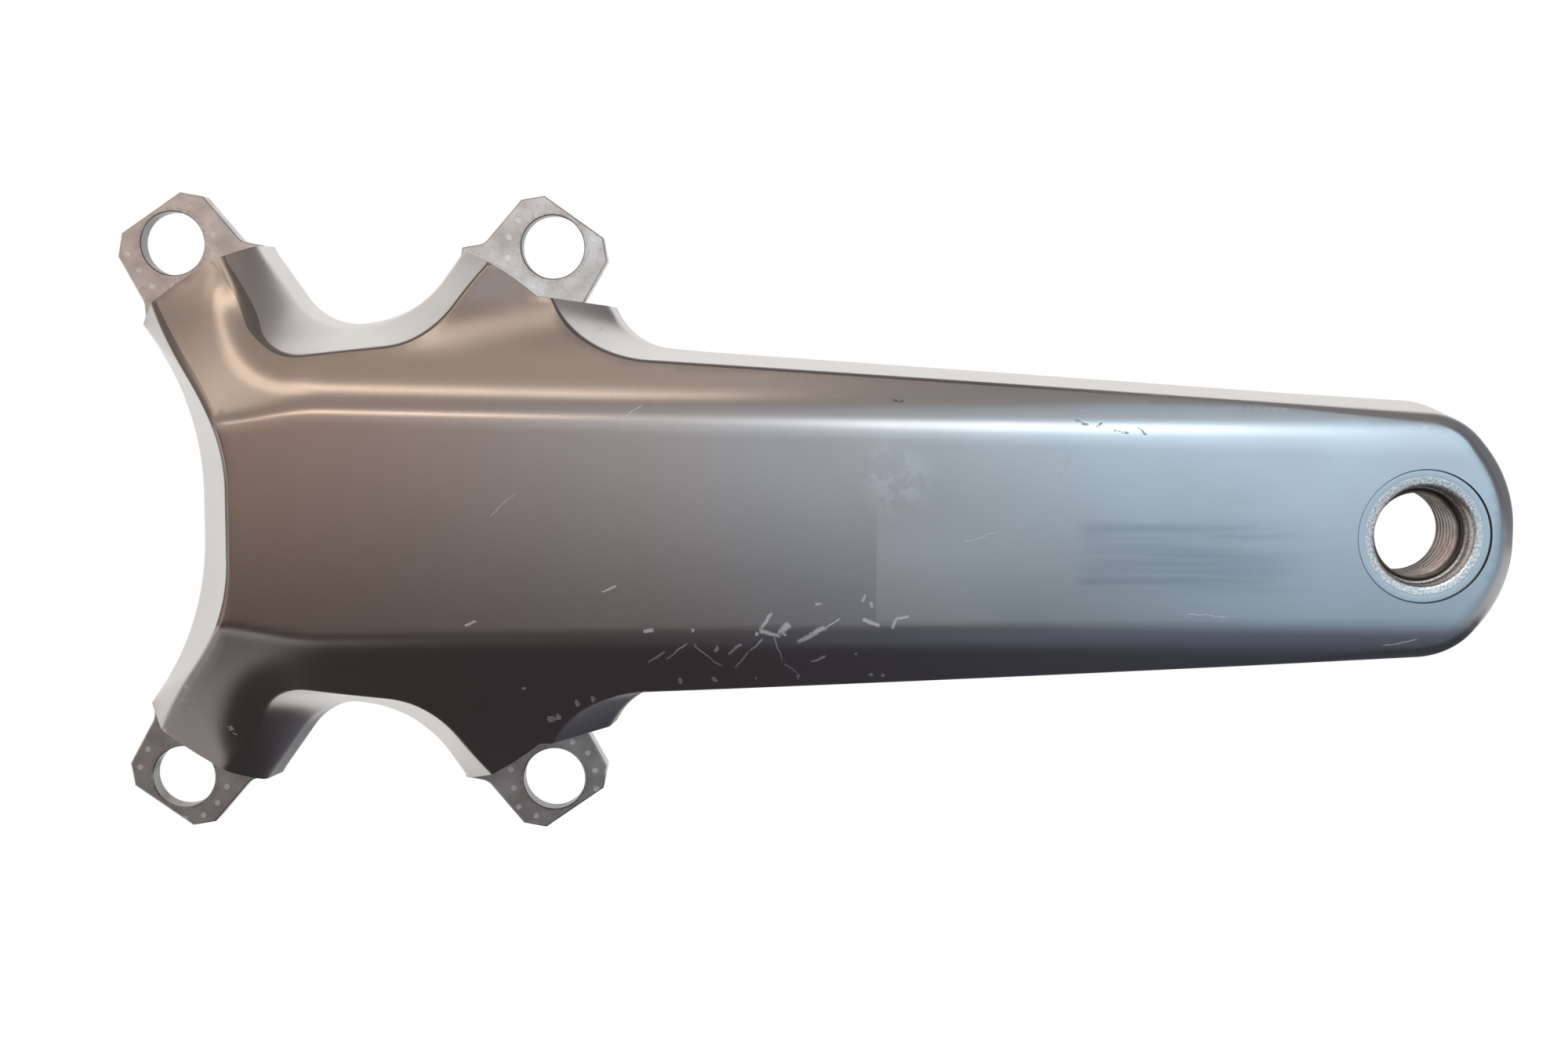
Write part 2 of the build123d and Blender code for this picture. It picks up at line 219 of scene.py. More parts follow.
def face_level(x, z):
    """Outboard distance of the outer face."""
    z = abs(z)
    left = eased(-BAND_DIP_START - x, END_BLEND)
    past_band = z - along_arm(BAND_START, x) + BAND_DIP * left / (1 + BAND_DIP_EASE * left)
    rise = BEVEL_RISE * eased(-BEVEL_RISE_START - x, END_BLEND)
    band = eased(past_band, along_arm(BAND_START_BLEND, x))
    bevel_blend = along_arm(BEVEL_START_BLEND, x) + BEVEL_SOFTER[0] * rise + BEVEL_SOFTER[1] * left
    bevel = eased(z - along_arm(BEVEL_START, x) - rise, bevel_blend)
    skirt_start = along_arm(SKIRT_START, x) + rise * SKIRT_WITH_BEVEL
    skirt_start += SKIRT_RISE * eased(x - SKIRT_RISE_START, END_BLEND)
    skirt = eased(z - skirt_start, SKIRT_BLEND)
    band_slope = along_arm(BAND_SLOPE, x)
    fade = 1 - BEVEL_FADE * min(rise / BEVEL_FADE_RISE, 1.0)
    bevel_slope = between(band_slope, along_arm(BEVEL_SLOPE, x), fade)
    drop = band_slope * band + (bevel_slope - band_slope) * bevel
    drop += (along_arm(SKIRT_SLOPE, x) - bevel_slope) * skirt
    tilted = band / END_TILT_RUN
    drop += END_TILT * eased(-END_TILT_START - x, END_BLEND) * (tilted - eased(tilted - 1, END_TILT_SOFT))
    return HUB_FACE + FACET_RISE * x - drop


def back_level(x, z):
    """Outboard distance of the inner face."""
    level = TAB_BACK
    slope = 0.0
    for (bend, start, blend), after in zip(BACK_BENDS, BACK_BENDS[1:] + (None,)):
        next_slope = (after[1] - start) / (after[0] - bend) if after else 0.0
        level += (next_slope - slope) * eased(x - bend, blend)
        slope = next_slope
    return level


def outline_corners():
    """Corners of the plan's upper half, clockwise from the left: front edge, rim, radius at each and
    straight share."""
    root_rim = (ROOT[0] + ROOT_FLARE[0], ROOT[1] + ROOT_FLARE[1])
    shoulder = on_spider(1, STEP_RADIUS, SPIDER_HALF)
    shoulder_rim = (shoulder[0] + ROOT_SHOULDER_FLARE[0], shoulder[1] + ROOT_SHOULDER_FLARE[1])
    sharp = (0, 0)
    forged = (
        (spider_at_x(-1, SPIDER_HALF, -HUB_LEFT), spider_at_x(-1, SPIDER_HALF_RIM, -HUB_LEFT_RIM),
         HUB_LEFT_RADII),
        (on_spider(-1, BOLT_RADIUS, SPIDER_HALF), on_spider(-1, BOLT_RADIUS, SPIDER_HALF_RIM), sharp),
        (on_spider(-1, BOLT_RADIUS, -SPIDER_HALF), on_spider(-1, BOLT_RADIUS, -LEFT_ARM_RIM), sharp),
        (spider_at_z(-1, -SPIDER_HALF, BAY_FLOOR_LEFT), spider_at_z(-1, -LEFT_ARM_RIM, BAY_FLOOR_LEFT_RIM),
         BAY_RADII_LEFT),
        (spider_at_z(1, -SPIDER_HALF, BAY_FLOOR_RIGHT), spider_at_z(1, -SPIDER_HALF_RIM, BAY_FLOOR_RIGHT_RIM),
         BAY_RADII_RIGHT),
        (on_spider(1, BOLT_RADIUS - SPIDER_HALF, -SPIDER_HALF), on_spider(1, BOLT_RADIUS, -SPIDER_HALF_RIM),
         sharp),
        (past(ROOT, shoulder, ROOT_OVERRUN), past(root_rim, shoulder_rim, ROOT_OVERRUN), sharp),
        (ROOT, root_rim, ROOT_RADII),
    )
    corners = [(*corner, WALL_LEAN) for corner in forged]
    for past_axis, half, radius in EYE_CORNERS:
        front = (ARM_LENGTH + past_axis, half)
        flare = BEAM_FLARE * (face_level(*front) - RIM_LEVEL)
        size = hypot(past_axis, half)
        rim = (front[0] + flare * past_axis / size, front[1] + flare * half / size)
        corners.append((front, rim, (radius, radius + flare / 2), 1.0))
    return corners


CORNERS = outline_corners()


def held_in(point):
    """Point of the plan, drawn back to the round shoulder where it is on a spider arm beyond it."""
    reach = hypot(*point)
    if reach < STEP_RADIUS or point[0] > BOLT_RADIUS:
        return point
    return point[0] * STEP_RADIUS / reach, point[1] * STEP_RADIUS / reach


def corners_at(level):
    """Points and radii of the plan's upper half at an outboard distance, drafted outwards behind the rim."""
    points = []
    radii = []
    for front, rim, radius, lean in CORNERS:
        edge = face_level(*held_in(front))
        depth = min(max((edge - level) / (edge - RIM_LEVEL), 0.0), 1.0)
        share = depth * (lean + (1 - lean) * depth)
        points.append(point_between(front, rim, share))
        radii.append(between(radius[0], radius[1], share))
    draft = max(RIM_LEVEL - level, 0.0) * SKIRT_FLARE
    return grown(points, radii, draft)


LEAST_CORNER = 0.2


def corner_step(before, here, after, by, least):
    """Step of a corner when both sides beside it move to their left by a distance, and which way it turns."""
    first = (Vector(here) - Vector(before)).normalized()
    second = (Vector(after) - Vector(here)).normalized()
    left = Vector((-first.y - second.y, first.x + second.x)).normalized()
    stretch = by / max(left.dot(Vector((-first.y, first.x))), least)
    return left.x * stretch, left.y * stretch, first.x * second.y - first.y * second.x


def grown(points, radii, by):
    """Upper half of a plan with every side moved out by a distance."""
    loop = points + [(x, -z) for x, z in reversed(points)]
    moved = []
    for i, here in enumerate(points):
        x, z, turn = corner_step(loop[i - 1], here, loop[i + 1], by, LEAST_CORNER)
        moved.append((here[0] + x, here[1] + z))
        if radii[i]:
            radii[i] += by if turn < 0 else -by
    return moved, radii


def rounded_corner(before, corner, after, radius, steps):
    """Points of the arc that rounds a corner."""
    here = Vector(corner)
    to_before = (Vector(before) - here).normalized()
    to_after = (Vector(after) - here).normalized()
    half = acos(max(-1.0, min(1.0, to_before.dot(to_after)))) / 2
    middle = here + (to_before + to_after).normalized() * (radius / sin(half))
    start = here + to_before * (radius / tan(half)) - middle
    sweep = pi - 2 * half
    if to_before.x * to_after.y - to_before.y * to_after.x > 0:
        sweep = -sweep
    points = []
    for i in range(steps + 1):
        spoke = start.copy()
        spoke.rotate(Matrix.Rotation(sweep * i / steps, 2))
        points.append((middle.x + spoke.x, middle.y + spoke.y))
    return points


def straight(start, end, steps):
    return [point_between(start, end, i / steps) for i in range(steps + 1)]


def meets_step(inner, outer):
    """Where a line reaches the round shoulder."""
    run = Vector(outer) - Vector(inner)
    a = run.length_squared
    b = Vector(inner).dot(run)
    c = Vector(inner).length_squared - STEP_RADIUS**2
    return point_between(inner, outer, (-b + sqrt(b * b - a * c)) / a)


def on_step(start, end, shares):
    """Points on the round shoulder between two of its points."""
    first = atan2(start[1], start[0])
    last = atan2(end[1], end[0])
    turns = [between(first, last, share) for share in shares]
    return [(STEP_RADIUS * cos(turn), STEP_RADIUS * sin(turn)) for turn in turns]


SEAT_CORNER = (sqrt(STEP_RADIUS**2 - ROOT_SEAT**2), ROOT_SEAT)


def past_seat(point):
    """How far a point is above the straight shoulder on the crank arm's side."""
    return point[1] - (ROOT_SEAT - ROOT_SEAT_SLOPE * (point[0] - SEAT_CORNER[0]))


def evenly(points, steps):
    """The same path with its points evenly spaced."""
    runs = [0.0]
    for a, b in zip(points, points[1:]):
        runs.append(runs[-1] + hypot(b[0] - a[0], b[1] - a[1]))
    spaced = []
    k = 0
    for i in range(steps + 1):
        target = runs[-1] * i / steps
        while k < len(runs) - 2 and runs[k + 1] < target:
            k += 1
        share = (target - runs[k]) / (runs[k + 1] - runs[k])
        spaced.append(point_between(points[k], points[k + 1], share))
    return spaced


def below_seat(path):
    """The part of a path that is below the straight shoulder, cut where it crosses it."""
    for i in range(len(path) - 1):
        if past_seat(path[i + 1]) < 0:
            share = past_seat(path[i]) / (past_seat(path[i]) - past_seat(path[i + 1]))
            return [point_between(path[i], path[i + 1], share)] + path[i + 1:]
    return path


FAR_STEP_SHARES = [0.0] + [0.17 + 0.47 * i / 10 for i in range(11)] + [1.0]
NEAR_STEP_SHARES = [0.0] + [0.2 + 0.8 * i / 8 for i in range(9)]
SEAT_SHARES = [0.0, 0.12, 0.25, 1.0]


def half_plan(level):
    """Runs of points round the plan's upper half, each a wall or a shoulder."""
    p, r = corners_at(level)
    left = rounded_corner((p[0][0], -p[0][1]), p[0], p[1], r[0], HUB_ARC_STEPS)
    far_out = meets_step(p[0], p[1])
    left_wall = straight((p[0][0], 0.0), left[0], HUB_STEPS) + left[1:]
    left_wall += straight(left[-1], far_out, LEFT_ARM_STEPS)[1:]
    far_in = meets_step(p[3], p[2])
    bay_left = rounded_corner(p[2], p[3], p[4], r[3], BAY_ARC_STEPS[0])
    bay_right = rounded_corner(p[3], p[4], p[5], r[4], BAY_ARC_STEPS[1])
    near_in = meets_step(p[4], p[5])
    bay_wall = straight(far_in, bay_left[0], BAY_STEPS) + bay_left[1:]
    bay_wall += straight(bay_left[-1], bay_right[0], BAY_STEPS)[1:] + bay_right[1:]
    bay_wall += straight(bay_right[-1], near_in, BAY_STEPS)[1:]
    root = rounded_corner(p[6], p[7], p[8], r[7], ROOT_ARC_STEPS)
    root_path = below_seat(straight(p[6], root[0], ROOT_LINE_STEPS) + root[1:])
    seat_end = root_path[0]
    eye = rounded_corner(p[7], p[8], p[9], r[8], EYE_ARC_STEPS)
    end = rounded_corner(p[8], p[9], (p[9][0], -p[9][1]), r[9], END_ARC_STEPS)
    arm_wall = evenly(root_path, ROOT_STEPS) + straight(root[-1], eye[0], BEAM_STEPS)[1:] + eye[1:]
    arm_wall += straight(eye[-1], end[0], EYE_STEPS)[1:] + end[1:]
    arm_wall += straight(end[-1], (p[9][0], 0.0), END_STEPS)[1:]
    far_step = on_step(far_out, far_in, FAR_STEP_SHARES)
    near_step = on_step(near_in, SEAT_CORNER, NEAR_STEP_SHARES)
    near_step += [point_between(SEAT_CORNER, seat_end, share) for share in SEAT_SHARES[1:]]
    return left_wall, far_step, bay_wall, near_step, arm_wall


def whole_plan(level):
    """Closed loop of points round the arm at an outboard distance."""
    half = []
    for run in half_plan(level):
        half += run if not half else run[1:]
    return half + [(x, -z) for x, z in reversed(half[1:-1])]


def edge_kinds():
    """For each point of the loop: wall, step, or corner where the two meet."""
    kinds = []
    for run, kind in zip(half_plan(RIM_LEVEL), ("wall", "step", "wall", "step", "wall")):
        inner = [kind] * (len(run) - 2)
        kinds += inner + ["corner"] if kinds else [kind] + inner + ["corner"]
    kinds[-1] = "wall"
    return kinds + list(reversed(kinds[1:-1]))


# Runs of the plan up to the end of the far and of the near shoulder
FAR_STEP_END = 2
NEAR_STEP_END = 4


def set_past(runs_before, values, new_values):
    """Put values on the points that follow some runs of the plan, and on their mirror images."""
    corner = sum(len(run) - 1 for run in half_plan(RIM_LEVEL)[:runs_before])
    for k, value in enumerate(new_values):
        values[corner + k] = value
        values[len(values) - corner - k] = value


# Arm body, made as a skin round the plan with a front and a back

# Paint slots of the arm body
DARK_SLOT = 0
TAB_SLOT = 1
EYE_SLOT = 2
MARKED_SLOT = 3
# Slot of the rounded front edge, whose paint has painted dark shade where the edge turns away from the face
EDGE_SHADE_SLOT = 4
EDGE_SHADE_LOWEST = -16.0

# Rows of the walls and edges, steps of the search for an edge, and spacing of the points on the faces
LEVEL_STEP = 0.4
WALL_ROWS = 22
EDGE_ROWS = 5
WALLS_BELOW = 1.2
FIRST_GUESS = 60.0
GUESSES = 30
LOOK_DOWN = 0.5
LOOK_ACROSS = 0.3
BACK_SPACING = (3.0, 2.5)
FACE_SPACING = (1.4, 0.9)
RING_CLEARANCE = 0.65
SAME_SPOT = 1e-7
NO_LENGTH = 1e-8


def meeting_level(column, i, surface):
    """Level at which column i of some points reaches a face."""
    level = FIRST_GUESS
    for _ in range(GUESSES):
        level = surface(*column(i, level))
    return level


class Walls:
    """Columns of points up the side walls, one for each point of the plan."""

    def __init__(self):
        self.start = TAB_BACK - WALLS_BELOW
        count = int((TOP_LEVEL - self.start) / LEVEL_STEP) + 2
        self.loops = [whole_plan(self.start + LEVEL_STEP * k) for k in range(count)]
        self.size = len(self.loops[0])
        self.rim = whole_plan(RIM_LEVEL)
        self.edges = [self.front_edge(i) for i in range(self.size)]
        self.leans = [1.0] * self.size
        leans = [between(LEFT_BAY_LEAN, 1.0, k / LEFT_BAY_RUN) for k in range(LEFT_BAY_RUN)]
        set_past(FAR_STEP_END, self.leans, leans)

    def on_loops(self, i, level):
        place = (level - self.start) / LEVEL_STEP
        k = min(max(int(place), 0), len(self.loops) - 2)
        return point_between(self.loops[k][i], self.loops[k + 1][i], place - k)

    def front_edge(self, i):
        """Where the plan's column i reaches the outer face: its level and point."""
        level = meeting_level(self.on_loops, i, face_level)
        return level, self.on_loops(i, level)

    def at(self, i, level):
        """Point of column i: drafted behind the rim, and one even sweep from the rim to the front edge."""
        if level <= RIM_LEVEL:
            return self.on_loops(i, level)
        edge, front = self.edges[i]
        depth = (edge - level) / (edge - RIM_LEVEL)
        return point_between(front, self.rim[i], depth * (self.leans[i] + (1 - self.leans[i]) * depth))

    def spot(self, i, level):
        x, z = self.at(i, level)
        return Vector((x, level, z))

    def meets(self, i, surface):
        """Where column i reaches the outer or the inner face."""
        return meeting_level(self.at, i, surface)


def on_surface(surface, spot):
    return Vector((spot.x, surface(spot.x, spot.z), spot.z))


def edge_ring(walls, kinds, surface, outwards, radii):
    """Rounded edge where the walls meet a face: rows of points from the wall to the face."""
    count = walls.size
    edge = [walls.spot(i, walls.meets(i, surface)) for i in range(count)]
    rows = [[] for _ in range(EDGE_ROWS + 1)]
    for i, here in enumerate(edge):
        down = (walls.spot(i, here.y - LOOK_DOWN * outwards) - here).normalized()
        if kinds[i] == "corner":
            step_side = i + 1 if kinds[(i + 1) % count] == "step" else i - 1
            inward = (edge[step_side % count] - here).normalized()
        else:
            run = (edge[(i + 1) % count] - edge[i - 1]).normalized()
            across = run.cross(Vector((0, 1, 0))).normalized()
            if across.dot(Vector(loop_inward(walls, i, here.y)).to_3d().xzy) < 0:
                across = -across
            inward = (on_surface(surface, here + across * LOOK_ACROSS) - here).normalized()
        half = down.angle(inward) / 2
        reach = radii[i] / tan(half)
        middle = here + (down + inward).normalized() * (radii[i] / sin(half))
        first = here + down * reach - middle
        last = here + inward * reach - middle
        for k in range(EDGE_ROWS + 1):
            rows[k].append(middle + radii[i] * first.normalized().slerp(last.normalized(), k / EDGE_ROWS))
    for i in range(count):
        rows[-1][i] = on_surface(surface, rows[-1][i])
    return rows


def loop_inward(walls, i, level):
    """Direction into the plan at a point of the loop."""
    a = Vector(walls.at((i - 1) % walls.size, level))
    b = Vector(walls.at((i + 1) % walls.size, level))
    run = b - a
    return run.y, -run.x


def filled_face(ring, surface, spacing):
    """Points inside a ring on a face, and triangles over the ring and them. The ring's points come first."""
    flat = [Vector((spot.x, spot.z)) for spot in ring]
    tree = KDTree(len(flat))
    for i, spot in enumerate(flat):
        tree.insert(spot.to_3d(), i)
    tree.balance()
    low_x = min(spot.x for spot in flat)
    high_x = max(spot.x for spot in flat)
    high_z = max(spot.y for spot in flat)
    points = list(flat)
    for i in range(int((high_x - low_x) / spacing[0]) + 1):
        for j in range(-int(high_z / spacing[1]), int(high_z / spacing[1]) + 1):
            spot = Vector((low_x + (i + 0.5 * (j % 2)) * spacing[0], j * spacing[1]))
            if tree.find(spot.to_3d())[2] > RING_CLEARANCE * min(spacing):
                points.append(spot)
    made = delaunay_2d_cdt(points, [], [list(range(len(flat)))], 1, SAME_SPOT)
    spots = [Vector((p.x, surface(p.x, p.y), p.y)) for p in made[0]]
    order = [ids[0] if ids else None for ids in made[3]]
    return spots, made[2], order


def ring_faces(start, rows, size):
    """Faces between rows of points, each row a closed ring of one size."""
    faces = []
    for low in range(start, start + (rows - 1) * size, size):
        for i in range(size):
            j = (i + 1) % size
            faces.append((low + i, low + j, low + size + j, low + size + i))
    return faces


def arm_skin():
    """Closed skin of the arm without its bores and pockets: points in (X, outboard, Z), faces and their
    paints."""
    walls = Walls()
    kinds = edge_kinds()
    count = walls.size
    front_radii = [SHOULDER_EDGE if kind == "step" else FACE_EDGE for kind in kinds]
    round_front_edge(walls, front_radii)
    back_radii = [BACK_EDGE if kind == "wall" else SHOULDER_EDGE for kind in kinds]
    front = edge_ring(walls, kinds, face_level, 1, front_radii)
    back = edge_ring(walls, kinds, back_level, -1, back_radii)
    rows = list(reversed(back))
    for k in range(1, WALL_ROWS):
        rows.append([
            walls.spot(i, between(back[0][i].y, front[0][i].y, k / WALL_ROWS)) for i in range(count)
        ])
    rows += front
    points = [spot for row in rows for spot in row]
    faces = ring_faces(0, len(rows), count)
    paints = []
    for r in range(len(rows) - 1):
        at_front = r >= len(rows) - 1 - EDGE_ROWS
        for i in range(count):
            walled = kinds[i] != "step" and kinds[(i + 1) % count] != "step"
            # The rounded front edge above a height gets the paint with painted dark shade
            edge_shaded = at_front and walled and rows[r][i].z > EDGE_SHADE_LOWEST
            paints.append(EDGE_SHADE_SLOT if edge_shaded else DARK_SLOT)
    for ring_start, surface, spacing in (
        (0, back_level, BACK_SPACING),
        ((len(rows) - 1) * count, face_level, FACE_SPACING),
    ):
        ring = points[ring_start:ring_start + count]
        spots, triangles, order = filled_face(ring, surface, spacing)
        names = {}
        for k, spot in enumerate(spots):
            if order[k] is not None and order[k] < count:
                names[k] = ring_start + order[k]
        for triangle in triangles:
            for k in triangle:
                if k not in names:
                    names[k] = len(points)
                    points.append(spots[k])
            faces.append(tuple(names[k] for k in triangle))
            paints.append(DARK_SLOT)
    return points, faces, paints


def round_front_edge(walls, radii):
    """Radii of the front edge: narrow beside the straight shoulder, where there is little room for it, wide
    where the left spider arms turn into the bay, and wider towards the pedal end."""
    shares = [k / ROOT_EDGE_RUN for k in range(ROOT_EDGE_RUN)]
    set_past(NEAR_STEP_END, radii, [between(ROOT_SEAT_EDGE, FACE_EDGE, share) for share in shares])
    shares = [smooth(k / LEFT_ARM_ROUND_RUN) for k in range(LEFT_ARM_ROUND_RUN)]
    set_past(FAR_STEP_END, radii, [between(LEFT_ARM_EDGE, FACE_EDGE, share) for share in shares])
    start, end = PEDAL_END_RUN
    for i, (x, z) in enumerate(walls.rim):
        radii[i] = between(radii[i], PEDAL_END_EDGE, smooth((x - start) / (end - start)))


def placed(name, data):
    """New object in the scene."""
    obj = bpy.data.objects.new(name, data)
    bpy.context.scene.collection.objects.link(obj)
    return obj


def mesh_of(name, points, faces, materials=(), face_materials=None):
    """Closed mesh object from points in (X, outboard, Z), with faces turned outwards."""
    mesh = bpy.data.meshes.new(name)
    mesh.from_pydata([(p[0] * MM, -p[1] * MM, p[2] * MM) for p in points], [], faces)
    for material in materials:
        mesh.materials.append(material)
    if face_materials:
        mesh.polygons.foreach_set("material_index", face_materials)
    work = bmesh.new()
    work.from_mesh(mesh)
    bmesh.ops.remove_doubles(work, verts=work.verts, dist=SAME_SPOT)
    bmesh.ops.dissolve_degenerate(work, edges=work.edges, dist=NO_LENGTH)
    bmesh.ops.recalc_face_normals(work, faces=work.faces)
    work.to_mesh(mesh)
    work.free()
    return placed(name, mesh)


def joined(name, shapes, materials):
    """One object from several closed shapes, each given as points, faces and a material number."""
    points = []
    faces = []
    numbers = []
    for shape_points, shape_faces, number in shapes:
        start = len(points)
        points += shape_points
        faces += [tuple(k + start for k in face) for face in shape_faces]
        numbers += [number] * len(shape_faces)
    return mesh_of(name, points, faces, materials, numbers)


def turned(x, profile, sides):
    """Solid of revolution about an axis across the arm. Its profile's points (radius, outboard) start and end
    on the axis."""
    points = []
    faces = []
    rings = []
    for radius, level in profile:
        if radius == 0:
            rings.append([len(points)] * sides)
            points.append(Vector((x, level, 0)))
        else:
            rings.append(list(range(len(points), len(points) + sides)))
            for k in range(sides):
                turn = 2 * pi * k / sides
                points.append(Vector((x + radius * cos(turn), level, radius * sin(turn))))
    for low, high in zip(rings, rings[1:]):
        for k in range(sides):
            j = (k + 1) % sides
            face = []
            for corner in (low[k], low[j], high[j], high[k]):
                if corner not in face:
                    face.append(corner)
            faces.append(tuple(face))
    return points, faces


def stacked(rings):
    """Solid through rings of points, closed by a face at each end."""
    count = len(rings[0])
    points = [spot for ring in rings for spot in ring]
    faces = [tuple(range(count)), tuple(reversed(range((len(rings) - 1) * count, len(rings) * count)))]
    return points, faces + ring_faces(0, len(rings), count)


def rounded_box(start, end, start_half, end_half, radius, steps):
    """Loop with rounded corners, between two ends along X that each have a half width."""
    corners = [(end, end_half), (end, -end_half), (start, -start_half), (start, start_half)]
    loop = []
    for i in range(4):
        loop += rounded_corner(corners[i - 1], corners[i], corners[(i + 1) % 4], radius, steps)
    return loop


def turned_plan(loop, angle, level):
    """Loop drawn along +X, turned round the spindle axis and set at an outboard distance."""
    return [
        Vector((x * cos(angle) - z * sin(angle), level, x * sin(angle) + z * cos(angle))) for x, z in loop
    ]


TAB_ANGLES = (BOLT_ANGLE, pi - BOLT_ANGLE, pi + BOLT_ANGLE, -BOLT_ANGLE)
# Levels of a spider arm's pocket and how far it is drawn in at each
POCKET_RINGS = (
    (41.0, -0.25), (44.3, -0.25), (44.5, 0.0), (45.4, 0.36),
    (53.2, 3.2), (54.0, 3.62), (54.55, 4.2), (54.85, 5.2),
)


def spider_pocket(angle):
    """Tapered relief behind one spider arm, with a rounded floor."""
    rings = []
    for level, inset in POCKET_RINGS:
        half = POCKET_HALF - inset
        radius = max(POCKET_CORNER - inset, POCKET_LEAST_CORNER)
        loop = rounded_box(POCKET_START + inset, POCKET_END - inset, half, half, radius, POCKET_ARC_STEPS)
        rings.append(turned_plan(loop, angle, level))
    return stacked(rings)


def side_half(x):
    root, eye = CORNERS[7][1], CORNERS[8][1]
    return between(root[1], eye[1], (x - root[0]) / (eye[0] - root[0]))


def cover_rebate():
    """Shallow recess that the inner cover lies in."""
    start_half = side_half(COVER_START) - COVER_EDGE
    end_half = side_half(COVER_END) - COVER_EDGE
    loop = rounded_box(COVER_START, COVER_END, start_half, end_half, COVER_CORNER, COVER_ARC_STEPS)
    rings = []
    for depth in (-COVER_CLEARANCE, COVER_REBATE):
        rings.append([Vector((x, back_level(x, z) + depth, z)) for x, z in loop])
    return stacked(rings)


# Profiles of what is cut away, as radius and outboard distance: the pocket round the spindle's boss with the
# spindle's hole, and the pedal eye's seat, counterbore and bore
HUB_PROFILE = (
    (0, 40), (21.5, 40), (21.5, 44.3), (21.0, 44.8), (21.0, 51.9), (20.7, 52.7), (19.9, 53.0), (17.6, 53.0),
    (16.8, 52.7), (16.5, 51.9), (16.5, 45.5), (16.0, 45.0), (12.9, 45.0), (12.31, 45.5), (12.31, 66.0),
    (0, 66.0),
)
EYE_PROFILE = (
    (0, 80), (10.62, 80), (10.7, 73.3), (10.45, 72.86), (10.45, 72.7), (10.4, 72.7), (8.32, 72.7),
    (8.25, 72.69), (7.98, 72.6), (7.8, 72.35), (7.8, 70.35), (7.62, 70.1), (7.3, 70.0), (THREAD_ROOT, 69.8),
    (THREAD_ROOT, 59.1), (7.745, 58.5), (7.745, 55), (0, 55),
)


# Half plans of a chainring tab from its tip: waist, root and buried end
TAB_TIP = [(61.1, 5.95), (58.35, 8.7)]
TAB_BAY_SIDE = [(48.8, 9.6), (46.2, 12.2), (44.0, 11.2)]
TAB_FAR_SIDE = [(49.7, 9.7), (47.5, 11.0), (45.6, 9.9)]
TAB_PEDAL_SIDE = [(49.6, 9.6), (46.6, 4.6)]
TAB_WAIST_RADIUS = 2.5
TAB_WAIST_STEPS = 6


def tab_side(points):
    """Half plan of a tab with its waist rounded."""
    waist, root, buried = points
    rounded = rounded_corner(TAB_TIP[1], waist, root, TAB_WAIST_RADIUS, TAB_WAIST_STEPS)
    return TAB_TIP + rounded + [root, buried]


def tab_loop(bay_side, pedal_side):
    """Plan of one chainring tab, drawn along +X, with its root spread towards the bay."""
    bay = tab_side(TAB_BAY_SIDE)
    far = TAB_TIP + TAB_PEDAL_SIDE if pedal_side > 0 else tab_side(TAB_FAR_SIDE)
    loop = bay + [(x, -z) for x, z in reversed(far)]
    return loop if bay_side > 0 else [(x, -z) for x, z in reversed(loop)]


TAB_LEAST_CORNER = 0.3


def drawn_in(loop, by):
    """Clockwise or anticlockwise loop with every side moved in by a distance."""
    middle_x = sum(p[0] for p in loop) / len(loop)
    moved = []
    for i, here in enumerate(loop):
        x, z, _ = corner_step(loop[i - 1], here, loop[(i + 1) % len(loop)], by, TAB_LEAST_CORNER)
        sign = 1 if x * (middle_x - here[0]) - z * here[1] > 0 else -1
        moved.append((here[0] + sign * x, here[1] + sign * z))
    return moved


TAB_FLOOR = 44.42
TAB_EDGE = 0.22
TAB_LEVELS = (
    (TAB_FLOOR, TAB_EDGE), (TAB_FLOOR + TAB_EDGE, 0.0), (TAB_FACE - TAB_EDGE, 0.0), (TAB_FACE, TAB_EDGE),
)
HOLE_SIDES = 64
HOLE_EDGE_SHARE = 0.8
BOLT_HOLE_RADIUS = 5.25


def chainring_tab(angle):
    """Thin tab with its bolt hole and broken edges."""
    loop = tab_loop(sin(2 * angle), cos(angle))
    count = len(loop)
    points = []
    for level, inset in TAB_LEVELS:
        points += turned_plan(drawn_in(loop, inset) if inset else loop, angle, level)
    hole_start = len(points)
    for level, inset in TAB_LEVELS:
        radius = BOLT_HOLE_RADIUS + inset * HOLE_EDGE_SHARE
        turns = [2 * pi * k / HOLE_SIDES for k in range(HOLE_SIDES)]
        ring = [(BOLT_RADIUS + radius * cos(t), radius * sin(t)) for t in turns]
        points += turned_plan(ring, angle, level)
    faces = ring_faces(0, len(TAB_LEVELS), count) + ring_faces(hole_start, len(TAB_LEVELS), HOLE_SIDES)
    for r in (0, len(TAB_LEVELS) - 1):
        names = list(range(r * count, (r + 1) * count))
        names += list(range(hole_start + r * HOLE_SIDES, hole_start + (r + 1) * HOLE_SIDES))
        flat = [Vector((points[k].x, points[k].z)) for k in names]
        outer = list(range(count))
        inner = list(range(count, count + HOLE_SIDES))
        edges = [(ring[k], ring[(k + 1) % len(ring)]) for ring in (outer, inner) for k in range(len(ring))]
        made = delaunay_2d_cdt(flat, edges, [], 0, SAME_SPOT)
        for triangle in made[2]:
            middle = sum((made[0][k] for k in triangle), Vector((0, 0))) / 3
            if inside(flat[:count], middle) and not inside(flat[count:], middle):
                faces.append(tuple(names[made[3][k][0]] for k in triangle))
    return points, faces


def inside(loop, spot):
    """Whether a point lies within a closed loop."""
    held = False
    for i, a in enumerate(loop):
        b = loop[i - 1]
        if (a.y > spot.y) != (b.y > spot.y):
            if spot.x < (b.x - a.x) * (spot.y - a.y) / (b.y - a.y) + a.x:
                held = not held
    return held


